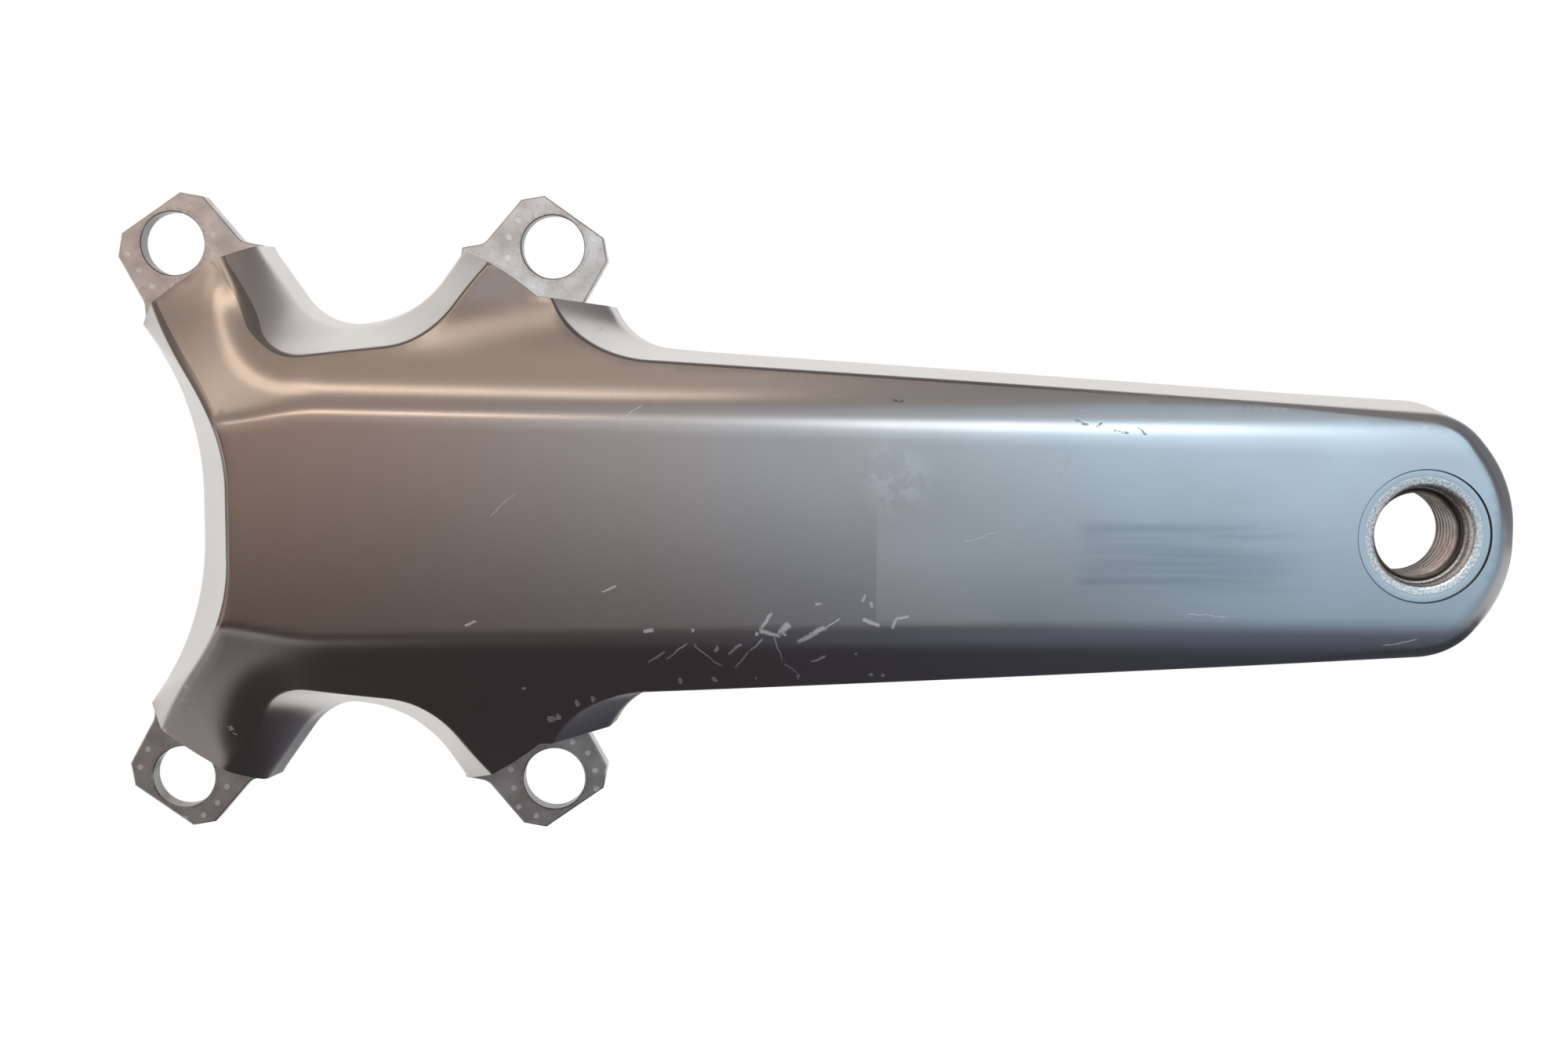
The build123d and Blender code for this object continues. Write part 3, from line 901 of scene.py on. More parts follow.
def applied(obj, step):
    """Give an object the mesh that its modifier makes, and remove the modifier."""
    evaluated = obj.evaluated_get(bpy.context.evaluated_depsgraph_get())
    mesh = bpy.data.meshes.new_from_object(evaluated)
    obj.modifiers.remove(step)
    obj.data = mesh


def combined(obj, other, operation):
    """Add or cut one closed object with another, which is then removed."""
    step = obj.modifiers.new("step", "BOOLEAN")
    step.operation = operation
    step.solver = "MANIFOLD"
    step.object = other
    step.material_mode = "TRANSFER"
    applied(obj, step)
    bpy.data.objects.remove(other)


def smooth_with_creases(mesh):
    mesh.polygons.foreach_set("use_smooth", [True] * len(mesh.polygons))
    mesh.set_sharp_from_angle(angle=radians(CREASE_ANGLE))


# Paints

def added(tree, kind, sockets, **settings):
    """Outputs of a new node: its settings come first, then the values or links of its sockets."""
    made = tree.nodes.new(kind)
    for name, value in settings.items():
        setattr(made, name, value)
    for name, value in sockets.items():
        if isinstance(value, bpy.types.NodeSocket):
            tree.links.new(value, made.inputs[name])
        else:
            made.inputs[name].default_value = value
    return made.outputs


class Value:
    """Output of a paint's node. Arithmetic on it adds nodes."""

    def __init__(self, paint, socket):
        self.paint = paint
        self.socket = socket

    def maths(self, operation, *others):
        return self.paint.node("ShaderNodeMath", {"operation": operation}, dict(enumerate((self, *others))))

    def reflected(self, operation, other):
        return self.paint.node("ShaderNodeMath", {"operation": operation}, {0: other, 1: self})

    def __add__(self, other):
        return self.maths("ADD", other)

    def __radd__(self, other):
        return self.reflected("ADD", other)

    def __sub__(self, other):
        return self.maths("SUBTRACT", other)

    def __rsub__(self, other):
        return self.reflected("SUBTRACT", other)

    def __mul__(self, other):
        return self.maths("MULTIPLY", other)

    def __rmul__(self, other):
        return self.reflected("MULTIPLY", other)

    def __pow__(self, other):
        return self.maths("POWER", other)

    def __neg__(self):
        return self.maths("MULTIPLY", -1.0)

    def higher(self, other):
        return self.maths("MAXIMUM", other)

    def size(self):
        return self.maths("ABSOLUTE")

    def ramp(self, low, high, start, end):
        sockets = {0: self, 1: low, 2: high, 3: start, 4: end}
        return self.paint.node("ShaderNodeMapRange", {"interpolation_type": "SMOOTHSTEP"}, sockets)

    def rise(self, low, high):
        """0 below low, 1 above high, and smooth between them."""
        return self.ramp(low, high, 0.0, 1.0)

    def fall(self, low, high):
        """1 below low, 0 above high, and smooth between them."""
        return self.ramp(low, high, 1.0, 0.0)


# Shares of a mark's width and length at which it starts to fade, and how far its ends reach
STROKE_CORE = 0.2
STROKE_TAPER = 0.75
STROKE_TIP = 0.15
# Depth of the paints' fine relief, in metres
GRAIN_DEPTH = 0.0001


class Paint:
    """One procedural material, in millimetres of the object's own frame."""

    def __init__(self, name):
        self.material = bpy.data.materials.new(name)
        self.material.use_nodes = True
        self.tree = self.material.node_tree
        self.shader = self.tree.nodes["Principled BSDF"]
        metres = self.node("ShaderNodeTexCoord", {}, {}, "Object")
        self.place = self.vector("SCALE", metres, scale=1 / MM)
        parts = added(self.tree, "ShaderNodeSeparateXYZ", {0: self.place.socket})
        self.x, self.y, self.z = (Value(self, part) for part in parts)

    def node(self, kind, settings, sockets, out=0):
        """Output of a new node, from its settings and the values or links of its sockets."""
        plain = {name: value.socket if isinstance(value, Value) else value for name, value in sockets.items()}
        return Value(self, added(self.tree, kind, plain, **settings)[out])

    def vector(self, operation, *values, scale=None):
        sockets = dict(enumerate(values))
        if scale is not None:
            sockets["Scale"] = scale
        out = "Value" if operation in ("LENGTH", "DOT_PRODUCT") else "Vector"
        return self.node("ShaderNodeVectorMath", {"operation": operation}, sockets, out)

    def noise(self, per_mm, detail=2.0, roughness=0.5, place=None):
        sockets = {"Vector": place or self.place, "Scale": per_mm, "Detail": detail, "Roughness": roughness}
        return self.node("ShaderNodeTexNoise", {}, sockets, "Fac")

    def colour(self, share, first, second):
        """Mix of two colours, each a link or plain numbers."""
        sockets = {0: share}
        for number, value in ((6, first), (7, second)):
            sockets[number] = value if isinstance(value, Value) else (*value, 1.0)
        return self.node("ShaderNodeMix", {"data_type": "RGBA"}, sockets, 2)

    def set(self, **sockets):
        for name, value in sockets.items():
            name = name.replace("_", " ").title()
            if isinstance(value, Value):
                self.tree.links.new(value.socket, self.shader.inputs[name])
            else:
                self.shader.inputs[name].default_value = value

    def facing(self):
        """Share of the surface's direction along Y: -1 faces out of the bicycle, 0 is a side wall."""
        normal = self.node("ShaderNodeNewGeometry", {}, {}, "Normal")
        return self.node("ShaderNodeSeparateXYZ", {}, {0: normal}, 1)

    def from_axis(self, x, z):
        """Distance from a line along Y."""
        away = self.vector("MULTIPLY", self.vector("SUBTRACT", self.place, (x, 0.0, z)), (1.0, 0.0, 1.0))
        return self.vector("LENGTH", away)

    def stroke(self, start, end, width, wander):
        """Soft line between two points (X, Z) of the face."""
        run = Vector(end) - Vector(start)
        ahead = run.normalized()
        middle = (Vector(start) + Vector(end)) / 2
        side = Vector((-ahead.y, ahead.x))
        along = self.vector("DOT_PRODUCT", self.place, (ahead.x, 0.0, ahead.y)) - middle.dot(ahead)
        across = self.vector("DOT_PRODUCT", self.place, (side.x, 0.0, side.y)) - middle.dot(side) + wander
        reach = run.length / 2
        ends = along.size().fall(reach * STROKE_TAPER, reach + STROKE_TIP)
        return across.size().fall(width * STROKE_CORE, width) * ends

    def patch(self, x_start, x_end, z_start, z_end):
        """Patch of the face, each side given by where it begins and ends to change."""
        return self.x.rise(*x_start) * self.x.fall(*x_end) * self.z.rise(*z_start) * self.z.fall(*z_end)

    def metal(self, colour, rough, height=None, strength=0.0):
        """Finish the paint as metal, with a fine relief where a height is given."""
        self.set(base_color=colour, metallic=1.0, roughness=rough)
        if height:
            sockets = {"Strength": strength, "Distance": GRAIN_DEPTH, "Height": height}
            self.set(normal=self.node("ShaderNodeBump", {}, sockets, "Normal"))
        return self.material


# Marks on the outer face in (X, Z): scratches and nicks as start, end and width, chips as place and size
PALE_SCRATCHES = (
    ((66.5, -15.5), (68.3, -12.6), 0.35), ((66.4, -15.6), (69.8, -16.4), 0.5),
    ((62.5, -22.0), (65.0, -18.9), 0.16), ((64.9, -19.0), (67.0, -16.8), 0.16),
    ((68.6, -16.4), (70.3, -20.9), 0.14), ((70.3, -20.9), (72.5, -22.7), 0.18),
    ((69.5, -16.0), (71.1, -14.4), 0.7), ((72.2, -17.4), (76.9, -14.8), 0.55),
    ((76.8, -14.9), (79.0, -13.6), 0.2), ((51.6, -20.4), (55.3, -17.6), 0.2),
    ((56.0, -17.8), (60.8, -21.6), 0.2), ((49.0, -21.1), (51.6, -18.9), 0.2),
    ((61.6, -19.5), (63.6, -17.6), 0.35), ((59.4, -18.9), (60.1, -18.2), 0.4),
    ((82.5, -13.6), (85.2, -14.6), 0.4), ((82.6, -10.8), (82.9, -9.8), 0.3),
    ((84.0, -11.7), (84.0, -10.9), 0.3), ((87.2, -15.0), (87.8, -13.5), 0.3),
    ((87.8, -13.4), (89.7, -13.0), 0.3), ((75.2, -11.3), (76.0, -11.2), 0.25),
    ((48.4, -15.8), (49.9, -15.5), 0.4), ((74.5, -20.8), (77.0, -19.6), 0.3),
    ((41.9, -9.6), (44.1, -8.6), 0.2), ((20.6, -15.0), (22.3, -14.3), 0.25),
    ((98.0, -1.5), (103.5, 0.4), 0.1), ((164.0, -17.3), (169.6, -16.2), 0.14),
    ((112.0, 7.0), (114.6, 12.5), 0.08), ((24.5, 2.0), (28.6, 5.8), 0.08),
    ((133.0, -12.2), (139.5, -12.9), 0.1), ((45.0, 17.2), (48.0, 19.6), 0.09),
)
CHIPS = (
    (32.9, -31.6, 1.0), (34.0, -31.2, 0.8), (37.3, -28.6, 0.75), (40.0, -27.8, 0.6), (29.0, -25.9, 0.35),
    (-19.6, -34.0, 0.65), (-19.2, -35.0, 0.4), (-25.4, -26.5, 0.5), (-26.6, -28.9, 0.6), (-25.8, -30.6, 0.4),
    (53.9, -24.2, 0.5), (59.4, -24.0, 0.6), (66.0, -23.6, 0.4), (72.6, -23.4, 0.5), (84.2, -22.9, 0.5),
    (85.9, -22.8, 0.45), (66.0, -16.2, 0.4), (70.5, -16.2, 0.3), (56.2, -15.5, 0.35), (81.6, -19.2, 0.25),
)
DARK_NICKS = (
    ((115.0, 17.6), (117.2, 17.0), 0.35), ((118.4, 16.6), (119.2, 17.4), 0.3),
    ((121.0, 16.2), (123.4, 15.6), 0.35), ((124.8, 16.6), (126.2, 15.4), 0.3),
    ((86.5, 20.6), (88.6, 20.4), 0.3), ((39.4, 30.8), (41.0, 31.4), 0.6),
)


# Tones of the anodised arm
# Painted reflections: a warm tint towards the hub and a cool tint towards the pedal end
ANODISED_WARM_PAINTED_REFLECTION = (0.40, 0.355, 0.33)
ANODISED_COOL_PAINTED_REFLECTION = (0.385, 0.39, 0.40)
ANODISED_CLOUD = (0.32, 0.29, 0.28)
ANODISED_GRAIN = (0.45, 0.43, 0.42)
# Pale painted reflection of the white surroundings on the side walls
WALL_PAINTED_REFLECTION = (0.86, 0.84, 0.815)
CLEANED_PATCH = (0.58, 0.58, 0.59)
RUBBED_PATCH = (0.25, 0.26, 0.285)
# Painted shade that dims the lamp's highlight on the upper right spider arm
DIMMED_HIGHLIGHT_SHADE = (0.18, 0.165, 0.16)
# Painted dark shade of the rounded front edge
EDGE_PAINTED_SHADE = (0.06, 0.055, 0.055)
PALE_MARK = (0.80, 0.79, 0.78)
DARK_MARK = (0.10, 0.10, 0.11)


def anodised_paint(name, marked=False, edge_shaded=False):
    """Dark satin anodising, with a painted warm reflection tint towards the hub and a painted cool one
    towards the pedal end, and a painted pale reflection of the white surroundings on the walls, which are
    also duller. It may have the marks, or painted dark shade on the rounded front edge."""
    paint = Paint(name)
    facing = paint.facing()
    wall = facing.size().fall(0.15, 0.72)
    outside = (-facing).rise(0.3, 0.5)
    along = paint.x.rise(-20.0, 150.0)
    cloud = paint.noise(0.06, 3.0)
    grain = paint.noise(2.2, 2.0)
    # Painted reflection tint: warm towards the hub, turning cool towards the pedal end
    colour = paint.colour(along, ANODISED_WARM_PAINTED_REFLECTION, ANODISED_COOL_PAINTED_REFLECTION)
    colour = paint.colour(cloud.rise(0.35, 0.7) * 0.2, colour, ANODISED_CLOUD)
    colour = paint.colour(grain.rise(0.45, 0.75) * 0.12, colour, ANODISED_GRAIN)

    haze = paint.noise(0.22, 4.0, 0.65)
    cleaned = paint.patch((84.4, 84.8), (88.0, 122.0), (-15.2, -13.6), (-4.0, 6.0))
    smudge = paint.from_axis(87.5, 8.4).fall(2.0, 7.5) * haze.rise(0.46, 0.56)
    rubbed = paint.patch((114.5, 118.5), (136.0, 160.0), (-10.4, -7.0), (0.4, 3.4))
    streaks = paint.noise(0.5, 2.0, 0.5, paint.vector("MULTIPLY", paint.place, (0.05, 0.0, 1.0)))
    scuffed = outside * (0.30 * cleaned + 0.28 * smudge)
    darkened = outside * rubbed * (0.18 + 0.5 * streaks.rise(0.4, 0.7))
    colour = paint.colour(scuffed, colour, CLEANED_PATCH)
    colour = paint.colour(darkened, colour, RUBBED_PATCH)

    # Painted shade over the skirt of the upper right spider arm, dimming the lamp's highlight there
    dimmed_highlight = paint.patch((6.0, 22.0), (40.0, 50.0), (26.0, 31.0), (33.0, 36.5))
    colour = paint.colour(outside * dimmed_highlight * 0.45, colour, DIMMED_HIGHLIGHT_SHADE)
    # Painted pale reflection of the white surroundings on the walls
    colour = paint.colour(wall * 0.9, colour, WALL_PAINTED_REFLECTION)
    if edge_shaded:
        # Painted dark shade where the rounded front edge turns from the face to the wall, fading towards the
        # pedal end
        edge_shade_mask = (-facing).fall(0.80, 0.94) * (-facing).rise(0.2, 0.42) * paint.x.fall(100.0, 140.0)
        colour = paint.colour(edge_shade_mask * 0.6, colour, EDGE_PAINTED_SHADE)
    rough = 0.18 + 0.05 * cloud + 0.03 * grain + 0.2 * wall + 0.05 * scuffed
    rough = rough + 0.03 * paint.z.rise(25.0, 29.5) * paint.x.rise(-2.0, 12.0)
    height = grain * 0.06
    if marked:
        ragged = paint.noise(1.6, 3.0)
        pale, nicks = face_marks(paint, ragged)
        pale = pale * outside * grain.rise(0.22, 0.42)
        nicks = nicks * outside * ragged.rise(0.35, 0.55)
        colour = paint.colour(pale * 0.46, colour, PALE_MARK)
        colour = paint.colour(nicks * 0.8, colour, DARK_MARK)
        rough = rough + 0.38 * pale
        height = height - pale * 0.5 - nicks
    return paint.metal(colour, rough, height, 0.12)


CHIP_RAGGED = 1.3
CHIP_RIM = (0.55, 0.8)
SCRATCH_WANDER = 0.9


def face_marks(paint, ragged):
    """Shares of the surface that are scratched pale and nicked dark."""
    wander = (paint.noise(0.4, 2.0) - 0.5) * SCRATCH_WANDER
    pale = 0.0
    for start, end, width in PALE_SCRATCHES:
        pale = paint.stroke(start, end, width, wander).higher(pale)
    for x, z, size in CHIPS:
        near = paint.from_axis(x, z) + (ragged - 0.5) * CHIP_RAGGED
        pale = near.fall(size * CHIP_RIM[0], size * CHIP_RIM[1]).higher(pale)
    nicks = 0.0
    for start, end, width in DARK_NICKS:
        nicks = paint.stroke(start, end, width, wander).higher(nicks)
    return pale, nicks


MARK_REACH = 2.2
FACES_OUT = -0.2


def near_mark(spot):
    """Whether a point (X, Z) of the face lies close to a scratch, chip or nick."""
    for start, end, _ in PALE_SCRATCHES + DARK_NICKS:
        share = min(max(intersect_point_line(spot, start, end)[1], 0.0), 1.0)
        if (Vector(point_between(start, end, share)) - spot).length < MARK_REACH:
            return True
    return any((Vector((x, z)) - spot).length < MARK_REACH + size for x, z, size in CHIPS)


def give_marks(obj, plain, marked):
    """Change the paint of the outer face from one slot to another wherever there are marks."""
    for face in obj.data.polygons:
        if face.material_index == plain and face.normal.y < FACES_OUT:
            if near_mark(Vector((face.center.x, face.center.z)) / MM):
                face.material_index = marked


HOLE_X = BOLT_RADIUS * cos(BOLT_ANGLE)
HOLE_Z = BOLT_RADIUS * sin(BOLT_ANGLE)
DOT_COUNT = 14.0
DOT_CIRCLE = 7.15
DOT_SCATTER = 1.4
TAB_GREYS = ((0.48, 0.465, 0.445), (0.64, 0.635, 0.625))
TAB_STAIN = (0.3, 0.285, 0.27)
TAB_DOT = (0.90, 0.89, 0.87)
TAB_WORN = (0.34, 0.32, 0.30)
# Painted shade on the inner walls of the bolt holes
HOLE_WALL_PAINTED_SHADE = (0.20, 0.19, 0.18)


def bare_tab_paint():
    """Bare worn aluminium of the chainring seats, with small pressed dots round the bolt holes and painted
    shade on the holes' inner walls.
    """
    paint = Paint("bare_tab")
    cloud = paint.noise(0.25, 4.0)
    grain = paint.noise(1.5, 3.0)
    colour = paint.colour(cloud.rise(0.3, 0.7), *TAB_GREYS)
    colour = paint.colour(grain.rise(0.52, 0.75) * 0.4, colour, TAB_STAIN)
    from_hole_x = paint.x.size() - HOLE_X
    from_hole_z = paint.z.size() - HOLE_Z
    radius = (from_hole_x * from_hole_x + from_hole_z * from_hole_z) ** 0.5
    turn = from_hole_z.maths("ARCTAN2", from_hole_x) * (DOT_COUNT / (2 * pi)) + DOT_COUNT
    corner = paint.x.maths("SIGN") * 3.0 + paint.z.maths("SIGN") * 7.0
    number = turn.maths("FLOOR") + corner
    chance = paint.node("ShaderNodeTexWhiteNoise", {"noise_dimensions": "1D"}, {"W": number})
    across = (turn.maths("FRACT") - 0.5) * (2 * pi / DOT_COUNT) * radius
    outwards = radius - DOT_CIRCLE - (chance - 0.5) * DOT_SCATTER
    dots = ((across * across + outwards * outwards) ** 0.5).fall(0.32, 0.6) * chance.rise(0.3, 0.5)
    worn = radius.fall(5.6, 6.4) * grain.rise(0.4, 0.6)
    colour = paint.colour(dots * 0.4, colour, TAB_DOT)
    colour = paint.colour(worn * 0.45, colour, TAB_WORN)
    # Painted shade on the bolt holes' inner walls
    colour = paint.colour(radius.fall(5.3, 5.42) * 0.85, colour, HOLE_WALL_PAINTED_SHADE)
    rough = 0.27 + 0.1 * grain + 0.12 * dots
    return paint.metal(colour, rough, grain * 0.3 - dots, 0.15)


EYE_RING_TONES = ((0.40, 0.365, 0.345), (0.75, 0.70, 0.665))
THREAD_TONES = ((0.46, 0.42, 0.39), (0.62, 0.58, 0.55))
# Painted shade in the thread's grooves
THREAD_GROOVE_PAINTED_SHADE = (0.09, 0.08, 0.075)
# Painted dark shade on the wall of the seat's step
EYE_STEP_PAINTED_SHADE = (0.05, 0.055, 0.06)


def bare_eye_paint():
    """Pedal eye: anodised seat with painted dark shade on its step wall, inner ring rubbed to bare mottled
    metal, painted shade in the thread's grooves.
    """
    paint = Paint("bare_eye")
    grain = paint.noise(2.6, 5.0, 0.65)
    patch = paint.noise(0.7, 3.0)
    radius = paint.from_axis(ARM_LENGTH, 0.0)
    seat = (radius + (patch - 0.5) * 0.5).rise(9.1, 9.35)
    # Painted dark shade on the seat's step wall, outside the seat's floor
    edge = radius.rise(10.28, 10.34)
    bore = radius.fall(7.2, 7.7)
    # Painted shade towards the thread's roots
    groove = radius.rise(6.62, 7.02)
    ring = paint.colour(grain.rise(0.4, 0.6), *EYE_RING_TONES)
    thread = paint.colour(patch.rise(0.35, 0.65), *THREAD_TONES)
    thread = paint.colour(groove, thread, THREAD_GROOVE_PAINTED_SHADE)
    colour = paint.colour(bore, ring, thread)
    # The seat takes the anodised tone of the pedal end, which carries the painted cool reflection tint
    colour = paint.colour(seat, colour, ANODISED_COOL_PAINTED_REFLECTION)
    colour = paint.colour(edge * 0.85, colour, EYE_STEP_PAINTED_SHADE)
    rough = 0.24 + 0.16 * grain - 0.1 * seat
    return paint.metal(colour, rough, grain * (1.0 - seat), 0.2)


STEEL_TONES = ((0.50, 0.50, 0.51), (0.64, 0.64, 0.64))
STEEL_STAIN = (0.36, 0.35, 0.34)


def spindle_paint():
    """Ground steel with fine marks round the axle."""
    paint = Paint("ground_steel")
    length = paint.vector("MULTIPLY", paint.place, (0.03, 1.0, 0.03))
    rings = paint.noise(3.0, 3.0, 0.6, length)
    stain = paint.noise(0.12, 3.0)
    colour = paint.colour(rings, *STEEL_TONES)
    colour = paint.colour(stain.rise(0.5, 0.75) * 0.35, colour, STEEL_STAIN)
    return paint.metal(colour, 0.24 + 0.1 * rings + 0.06 * stain)


# Thread of the pedal eye

def thread_tree(size_names, material):
    """Geometry nodes that wind a thread along a spiral."""
    tree = bpy.data.node_groups.new("wound_thread", "GeometryNodeTree")
    for name in size_names:
        tree.interface.new_socket(name, in_out="INPUT", socket_type="NodeSocketFloat")
    tree.interface.new_socket("Geometry", in_out="OUTPUT", socket_type="NodeSocketGeometry")
    size = added(tree, "NodeGroupInput", {})
    spiral = added(tree, "GeometryNodeCurveSpiral", {
        "Resolution": THREAD_STEPS, "Rotations": size["Turns"], "Start Radius": size["Radius"],
        "End Radius": size["Radius"], "Height": size["Height"], "Reverse": True,
    })
    path = added(tree, "GeometryNodeSetCurveNormal", {"Curve": spiral["Curve"]}, mode="Z_UP")
    profile = added(tree, "GeometryNodeCurvePrimitiveQuadrilateral", {
        "Height": size["Depth"], "Bottom Width": size["Root Width"], "Top Width": size["Crest Width"],
        "Offset": 0.0,
    }, mode="TRAPEZOID")
    half_depth = added(tree, "ShaderNodeMath", {0: size["Depth"], 1: -0.5}, operation="MULTIPLY")
    offset = added(tree, "ShaderNodeCombineXYZ", {"X": half_depth[0]})
    inwards = added(tree, "GeometryNodeTransform", {
        "Geometry": profile["Curve"], "Translation": offset[0], "Rotation": (0.0, 0.0, radians(90)),
    })
    along = added(tree, "GeometryNodeSplineParameter", {})
    ramps = []
    for start, end in ((0.0, THREAD_RUN_OUT), (1.0, 1.0 - THREAD_RUN_OUT)):
        sockets = {"Value": along["Factor"], "From Min": start, "From Max": end, "To Min": THREAD_TIP}
        ramps.append(added(tree, "ShaderNodeMapRange", sockets)[0])
    shrink = added(tree, "ShaderNodeMath", dict(enumerate(ramps)), operation="MINIMUM")
    sweep = added(tree, "GeometryNodeCurveToMesh", {
        "Curve": path["Curve"], "Profile Curve": inwards["Geometry"], "Scale": shrink[0], "Fill Caps": True,
    })
    real = added(tree, "GeometryNodeRealizeInstances", {"Geometry": sweep["Mesh"]})
    coated = added(tree, "GeometryNodeSetMaterial", {"Geometry": real["Geometry"], "Material": material})
    added(tree, "NodeGroupOutput", {"Geometry": coated["Geometry"]})
    return tree


def grown_by_nodes(name, tree, sizes):
    """Plain mesh object made by a tree with its sizes set."""
    obj = placed(name, bpy.data.meshes.new(name))
    step = obj.modifiers.new("grow", "NODES")
    step.node_group = tree
    for item in tree.interface.items_tree:
        if item.item_type == "SOCKET" and item.in_out == "INPUT":
            step[item.identifier] = sizes[item.name]
    applied(obj, step)
    return obj


def pedal_thread(material):
    """Right-hand thread in the pedal eye."""
    low, high = THREAD_ENDS
    depth = THREAD_ROOT - THREAD_CREST + THREAD_BITE
    sizes = {
        "Turns": (high - low) / THREAD_PITCH,
        "Radius": (THREAD_CREST + depth) * MM,
        "Height": (high - low) * MM,
        "Root Width": THREAD_PITCH * THREAD_ROOT_SHARE * MM,
        "Crest Width": THREAD_PITCH * THREAD_CREST_SHARE * MM,
        "Depth": depth * MM,
    }
    obj = grown_by_nodes("pedal_thread", thread_tree(sizes, material), sizes)
    to_eye = Matrix.Translation((ARM_LENGTH * MM, -low * MM, 0)) @ Matrix.Rotation(radians(90), 4, "X")
    obj.data.transform(to_eye)
    return obj


# Making the pieces

dark = anodised_paint("anodised_dark")
marked_dark = anodised_paint("anodised_marked", marked=True)
edge_shade_paint = anodised_paint("anodised_edge_painted_shade", edge_shaded=True)
bare_tab = bare_tab_paint()
bare_eye = bare_eye_paint()
steel = spindle_paint()

arm_paints = (dark, bare_tab, bare_eye, marked_dark, edge_shade_paint)
skin_points, skin_faces, skin_paints = arm_skin()
arm_body = mesh_of("arm_body", skin_points, skin_faces, arm_paints, skin_paints)
tabs = joined("tabs", [(*chainring_tab(angle), TAB_SLOT) for angle in TAB_ANGLES], arm_paints)
combined(arm_body, tabs, "UNION")
bores = [
    (*turned(0.0, HUB_PROFILE, BORE_SIDES), DARK_SLOT),
    (*turned(ARM_LENGTH, EYE_PROFILE, BORE_SIDES), EYE_SLOT),
    (*cover_rebate(), DARK_SLOT),
]
bores += [(*spider_pocket(angle), DARK_SLOT) for angle in TAB_ANGLES]
combined(arm_body, joined("bores", bores, arm_paints), "DIFFERENCE")
give_marks(arm_body, DARK_SLOT, MARKED_SLOT)
smooth_with_creases(arm_body.data)
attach(arm_body, "root")
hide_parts("arm_shell")

thread = pedal_thread(bare_eye)
smooth_with_creases(thread.data)
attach(thread, "root")

for node, material in (("inner_cover", dark), ("spindle", steel)):
    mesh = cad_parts[node].data
    if mesh.materials:
        for k in range(len(mesh.materials)):
            mesh.materials[k] = material
    else:
        mesh.materials.append(material)


# Stage: backdrop, floor, wall, cloth, lamps and camera, in metres

def stage_paint(name, colour, glow):
    """Pale stage surface that camera and mirror rays see at a plain brightness, and only from its front."""
    material = bpy.data.materials.new(name)
    material.use_nodes = True
    tree = material.node_tree
    tree.nodes.clear()
    ray = added(tree, "ShaderNodeLightPath", {})
    seen = ray["Is Camera Ray"]
    for other in ("Is Glossy Ray", "Is Transmission Ray"):
        seen = added(tree, "ShaderNodeMath", {0: seen, 1: ray[other]}, operation="MAXIMUM")[0]
    plain = added(tree, "ShaderNodeBsdfDiffuse", {"Color": (*colour, 1)})
    bright = added(tree, "ShaderNodeEmission", {"Color": (*glow, 1)})
    front = added(tree, "ShaderNodeMixShader", {0: seen, 1: plain[0], 2: bright[0]})
    clear = added(tree, "ShaderNodeBsdfTransparent", {})
    side = added(tree, "ShaderNodeNewGeometry", {})
    one_sided = added(tree, "ShaderNodeMixShader", {0: side["Backfacing"], 1: front[0], 2: clear[0]})
    added(tree, "ShaderNodeOutputMaterial", {"Surface": one_sided[0]})
    return material


def rectangle(x_ends, other_ends):
    """Corners of a rectangle, from where both are low and first along X."""
    (left, right), (low, high) = x_ends, other_ends
    return (left, low), (right, low), (right, high), (left, high)


def stage_sheet(name, corners, material):
    mesh = bpy.data.meshes.new(name)
    mesh.from_pydata(corners, [], [tuple(range(len(corners)))])
    mesh.materials.append(material)
    obj = placed(name, mesh)
    return obj


white_sheet = stage_paint("white_sheet", (0.85, 0.85, 0.85), (1.0, 1.0, 1.0))
BACKDROP_Y = 1.0
FLOOR_Z = -0.32
stage_sheet("backdrop", [(x, BACKDROP_Y, z) for x, z in rectangle((-2.5, 1.0), (-1.5, 2.0))], white_sheet)
stage_sheet("floor", [(x, y, FLOOR_Z) for x, y in rectangle((-2.5, 2.7), (-1.5, BACKDROP_Y))], white_sheet)


def glowing(paint, colour):
    """Makes a paint give light of a colour instead of reflecting it."""
    lit = paint.node("ShaderNodeEmission", {}, {"Color": colour})
    out = paint.tree.nodes["Material Output"]
    paint.tree.links.new(lit.socket, out.inputs["Surface"])
    paint.tree.nodes.remove(paint.shader)
    return paint.material


def room_card():
    """Wall behind the camera: dim and warm at the left, cool and bright at the right, darker below."""
    paint = Paint("room_card")
    across = paint.x.rise(-330.0, 560.0)
    wall = paint.colour(across, (0.74, 0.58, 0.51), (1.5, 1.94, 2.25))
    wall = paint.colour(paint.z.rise(400.0, 680.0) * 0.6, wall, (0.5, 0.45, 0.43))
    wall = paint.colour(paint.x.rise(640.0, 860.0), wall, (0.26, 0.255, 0.27))
    low = paint.colour(paint.x.rise(200.0, 600.0), (0.085, 0.065, 0.06), (0.56, 0.76, 0.92))
    lit = paint.colour(paint.z.rise(-200.0, 20.0), low, wall)
    return glowing(paint, lit)


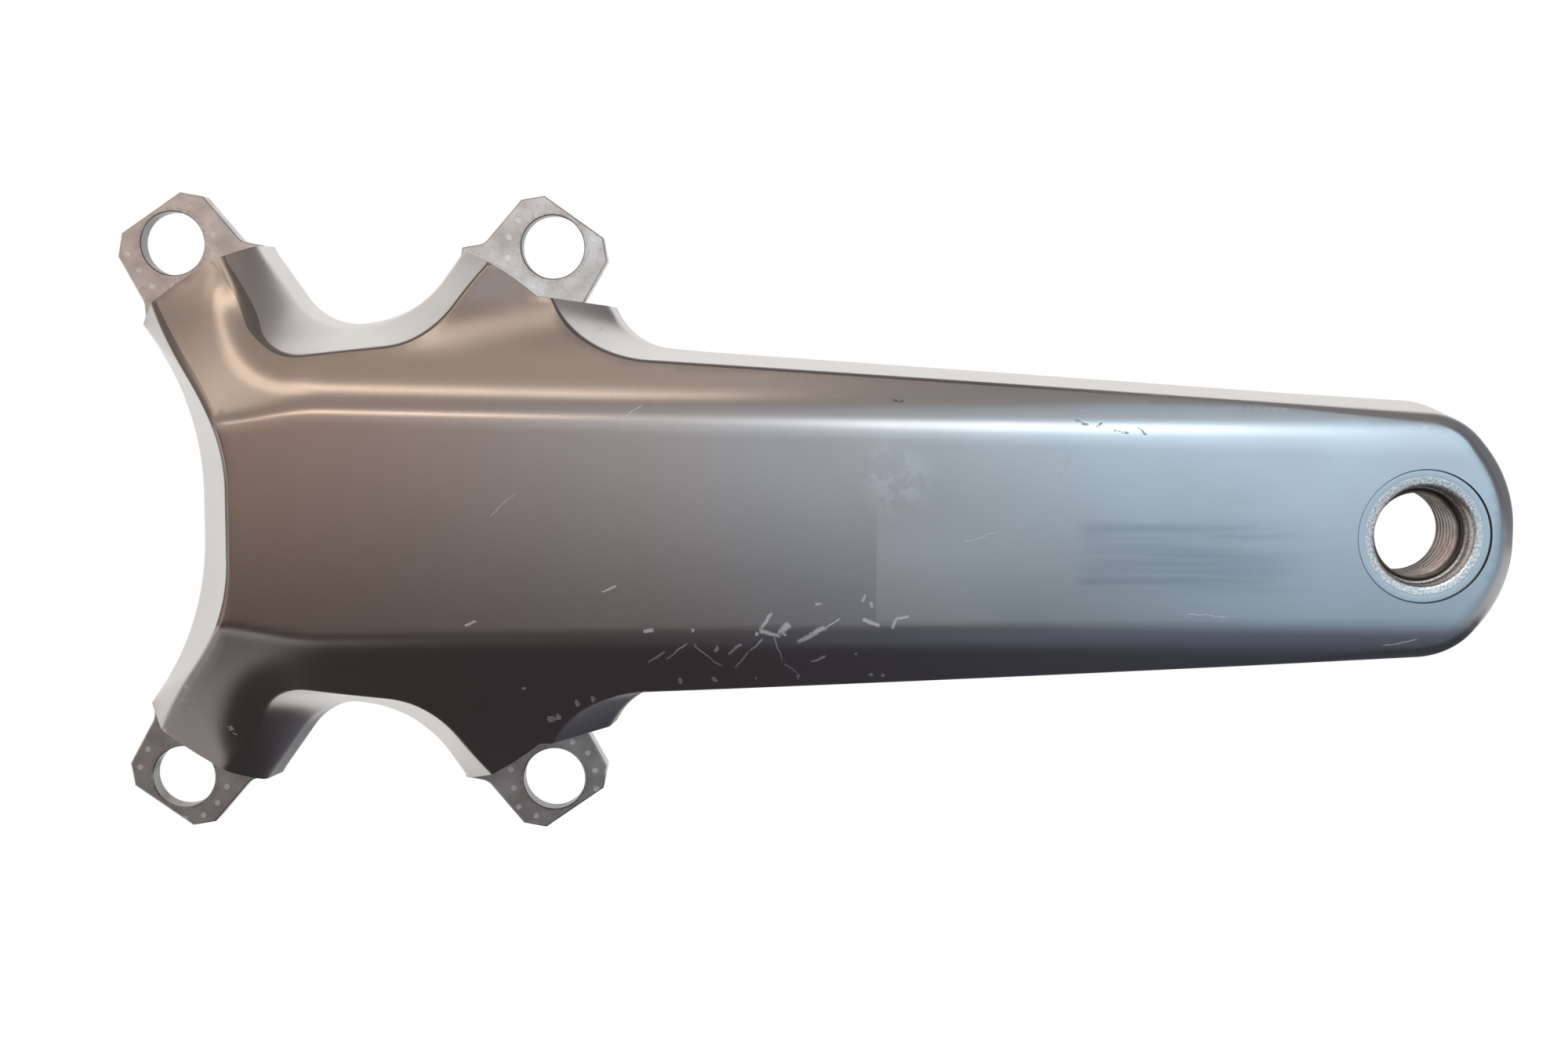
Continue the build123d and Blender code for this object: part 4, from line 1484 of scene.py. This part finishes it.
def floor_card():
    """Dark cloth below the arm, a little paler in front and pale at the left."""
    paint = Paint("floor_card")
    ahead = paint.y.fall(-540.0, -280.0)
    near = paint.colour(paint.x.rise(0.0, 240.0), (0.072, 0.062, 0.068), (0.095, 0.098, 0.12))
    front = paint.colour(paint.x.rise(0.0, 200.0), (0.11, 0.095, 0.095), (0.19, 0.215, 0.285))
    cloth = paint.colour(ahead, near, front)
    left = paint.x.fall(-210.0, -105.0) * paint.y.rise(-750.0, -550.0)
    return glowing(paint, paint.colour(left, cloth, (0.54, 0.54, 0.57)))


WALL_Y = -1.1
CLOTH_Z = -0.3
CLOTH_CORNERS = ((-0.8, WALL_Y), (0.7, WALL_Y), (0.7, 0.6), (0.02, 0.6), (0.02, 0.06), (-0.8, 0.06))
wall = stage_sheet("wall", [(x, WALL_Y, z) for x, z in rectangle((-1.5, 1.7), (-0.6, 1.1))], room_card())
wall.visible_camera = False
cloth = stage_sheet("cloth", [(x, y, CLOTH_Z) for x, y in CLOTH_CORNERS], floor_card())
cloth.visible_camera = False


ARM_MIDDLE = (0.07, -0.07, 0.0)


def lamp(name, at, size, colour, radiance):
    """Rectangular soft lamp towards the arm, with a plain brightness over its area."""
    light = bpy.data.lights.new(name, "AREA")
    light.shape = "RECTANGLE"
    light.size, light.size_y = size
    light.color = colour
    light.energy = radiance * pi * size[0] * size[1]
    obj = placed(name, light)
    obj.location = at
    obj.rotation_euler = (Vector(ARM_MIDDLE) - Vector(at)).to_track_quat("-Z", "Y").to_euler()


lamp("low_strip", (-0.23, -1.0, 0.36), (0.28, 0.1), (1.0, 0.85, 0.68), 3.6)
lamp("window", (0.27, -1.05, 0.30), (0.36, 0.22), (0.93, 0.98, 1.0), 2.2)
lamp("left_card", (-0.66, -0.55, 0.85), (0.36, 0.3), (1.0, 0.84, 0.68), 0.85)
lamp("bend_strip", (-0.38, -0.46, 0.85), (0.2, 0.06), (1.0, 0.88, 0.74), 3.3)
lamp("top_strip", (-0.17, -0.45, 0.85), (0.5, 0.08), (1.0, 0.86, 0.70), 3.0)

world = bpy.data.worlds.new("room")
world.use_nodes = True
bpy.context.scene.world = world
room = world.node_tree
towards = added(room, "ShaderNodeTexCoord", {})["Generated"]
sides = added(room, "ShaderNodeSeparateXYZ", {0: towards})
to_right = added(room, "ShaderNodeMapRange", {"Value": sides["X"], "From Min": -0.2, "From Max": 0.7})
room_tones = {0: to_right[0], 6: (0.60, 0.51, 0.45, 1), 7: (0.36, 0.36, 0.38, 1)}
room_walls = added(room, "ShaderNodeMix", room_tones, data_type="RGBA")
seen = added(room, "ShaderNodeLightPath", {})["Is Camera Ray"]
shade = added(room, "ShaderNodeMix", {0: seen, 6: room_walls[2], 7: (1, 1, 1, 1)}, data_type="RGBA")
room.links.new(shade[2], room.nodes["Background"].inputs["Color"])

CAMERA_AT = (66.36, -342.07, 25.44)
CAMERA_YAW = 0.0140
CAMERA_PITCH = 0.0874
CAMERA_ROLL = 0.0086
SENSOR_WIDTH = 36.0
FOCAL_SHARE = 2225.0 / 2000.0
CLIP_START = 0.01


def photo_camera():
    level_ahead = cos(CAMERA_PITCH)
    ahead = Vector((sin(CAMERA_YAW) * level_ahead, cos(CAMERA_YAW) * level_ahead, -sin(CAMERA_PITCH)))
    level_right = Vector((cos(CAMERA_YAW), -sin(CAMERA_YAW), 0.0))
    level_up = level_right.cross(ahead)
    right = level_right * cos(CAMERA_ROLL) + level_up * sin(CAMERA_ROLL)
    up = level_up * cos(CAMERA_ROLL) - level_right * sin(CAMERA_ROLL)
    data = bpy.data.cameras.new("photo_camera")
    data.sensor_fit = "HORIZONTAL"
    data.sensor_width = SENSOR_WIDTH
    data.lens = SENSOR_WIDTH * FOCAL_SHARE
    data.clip_start = CLIP_START
    obj = placed("photo_camera", data)
    turn = Matrix((right, up, -ahead)).transposed().to_4x4()
    obj.matrix_world = Matrix.Translation(Vector(CAMERA_AT) * MM) @ turn
    bpy.context.scene.camera = obj


photo_camera()
bpy.context.scene.view_settings.view_transform = "Standard"
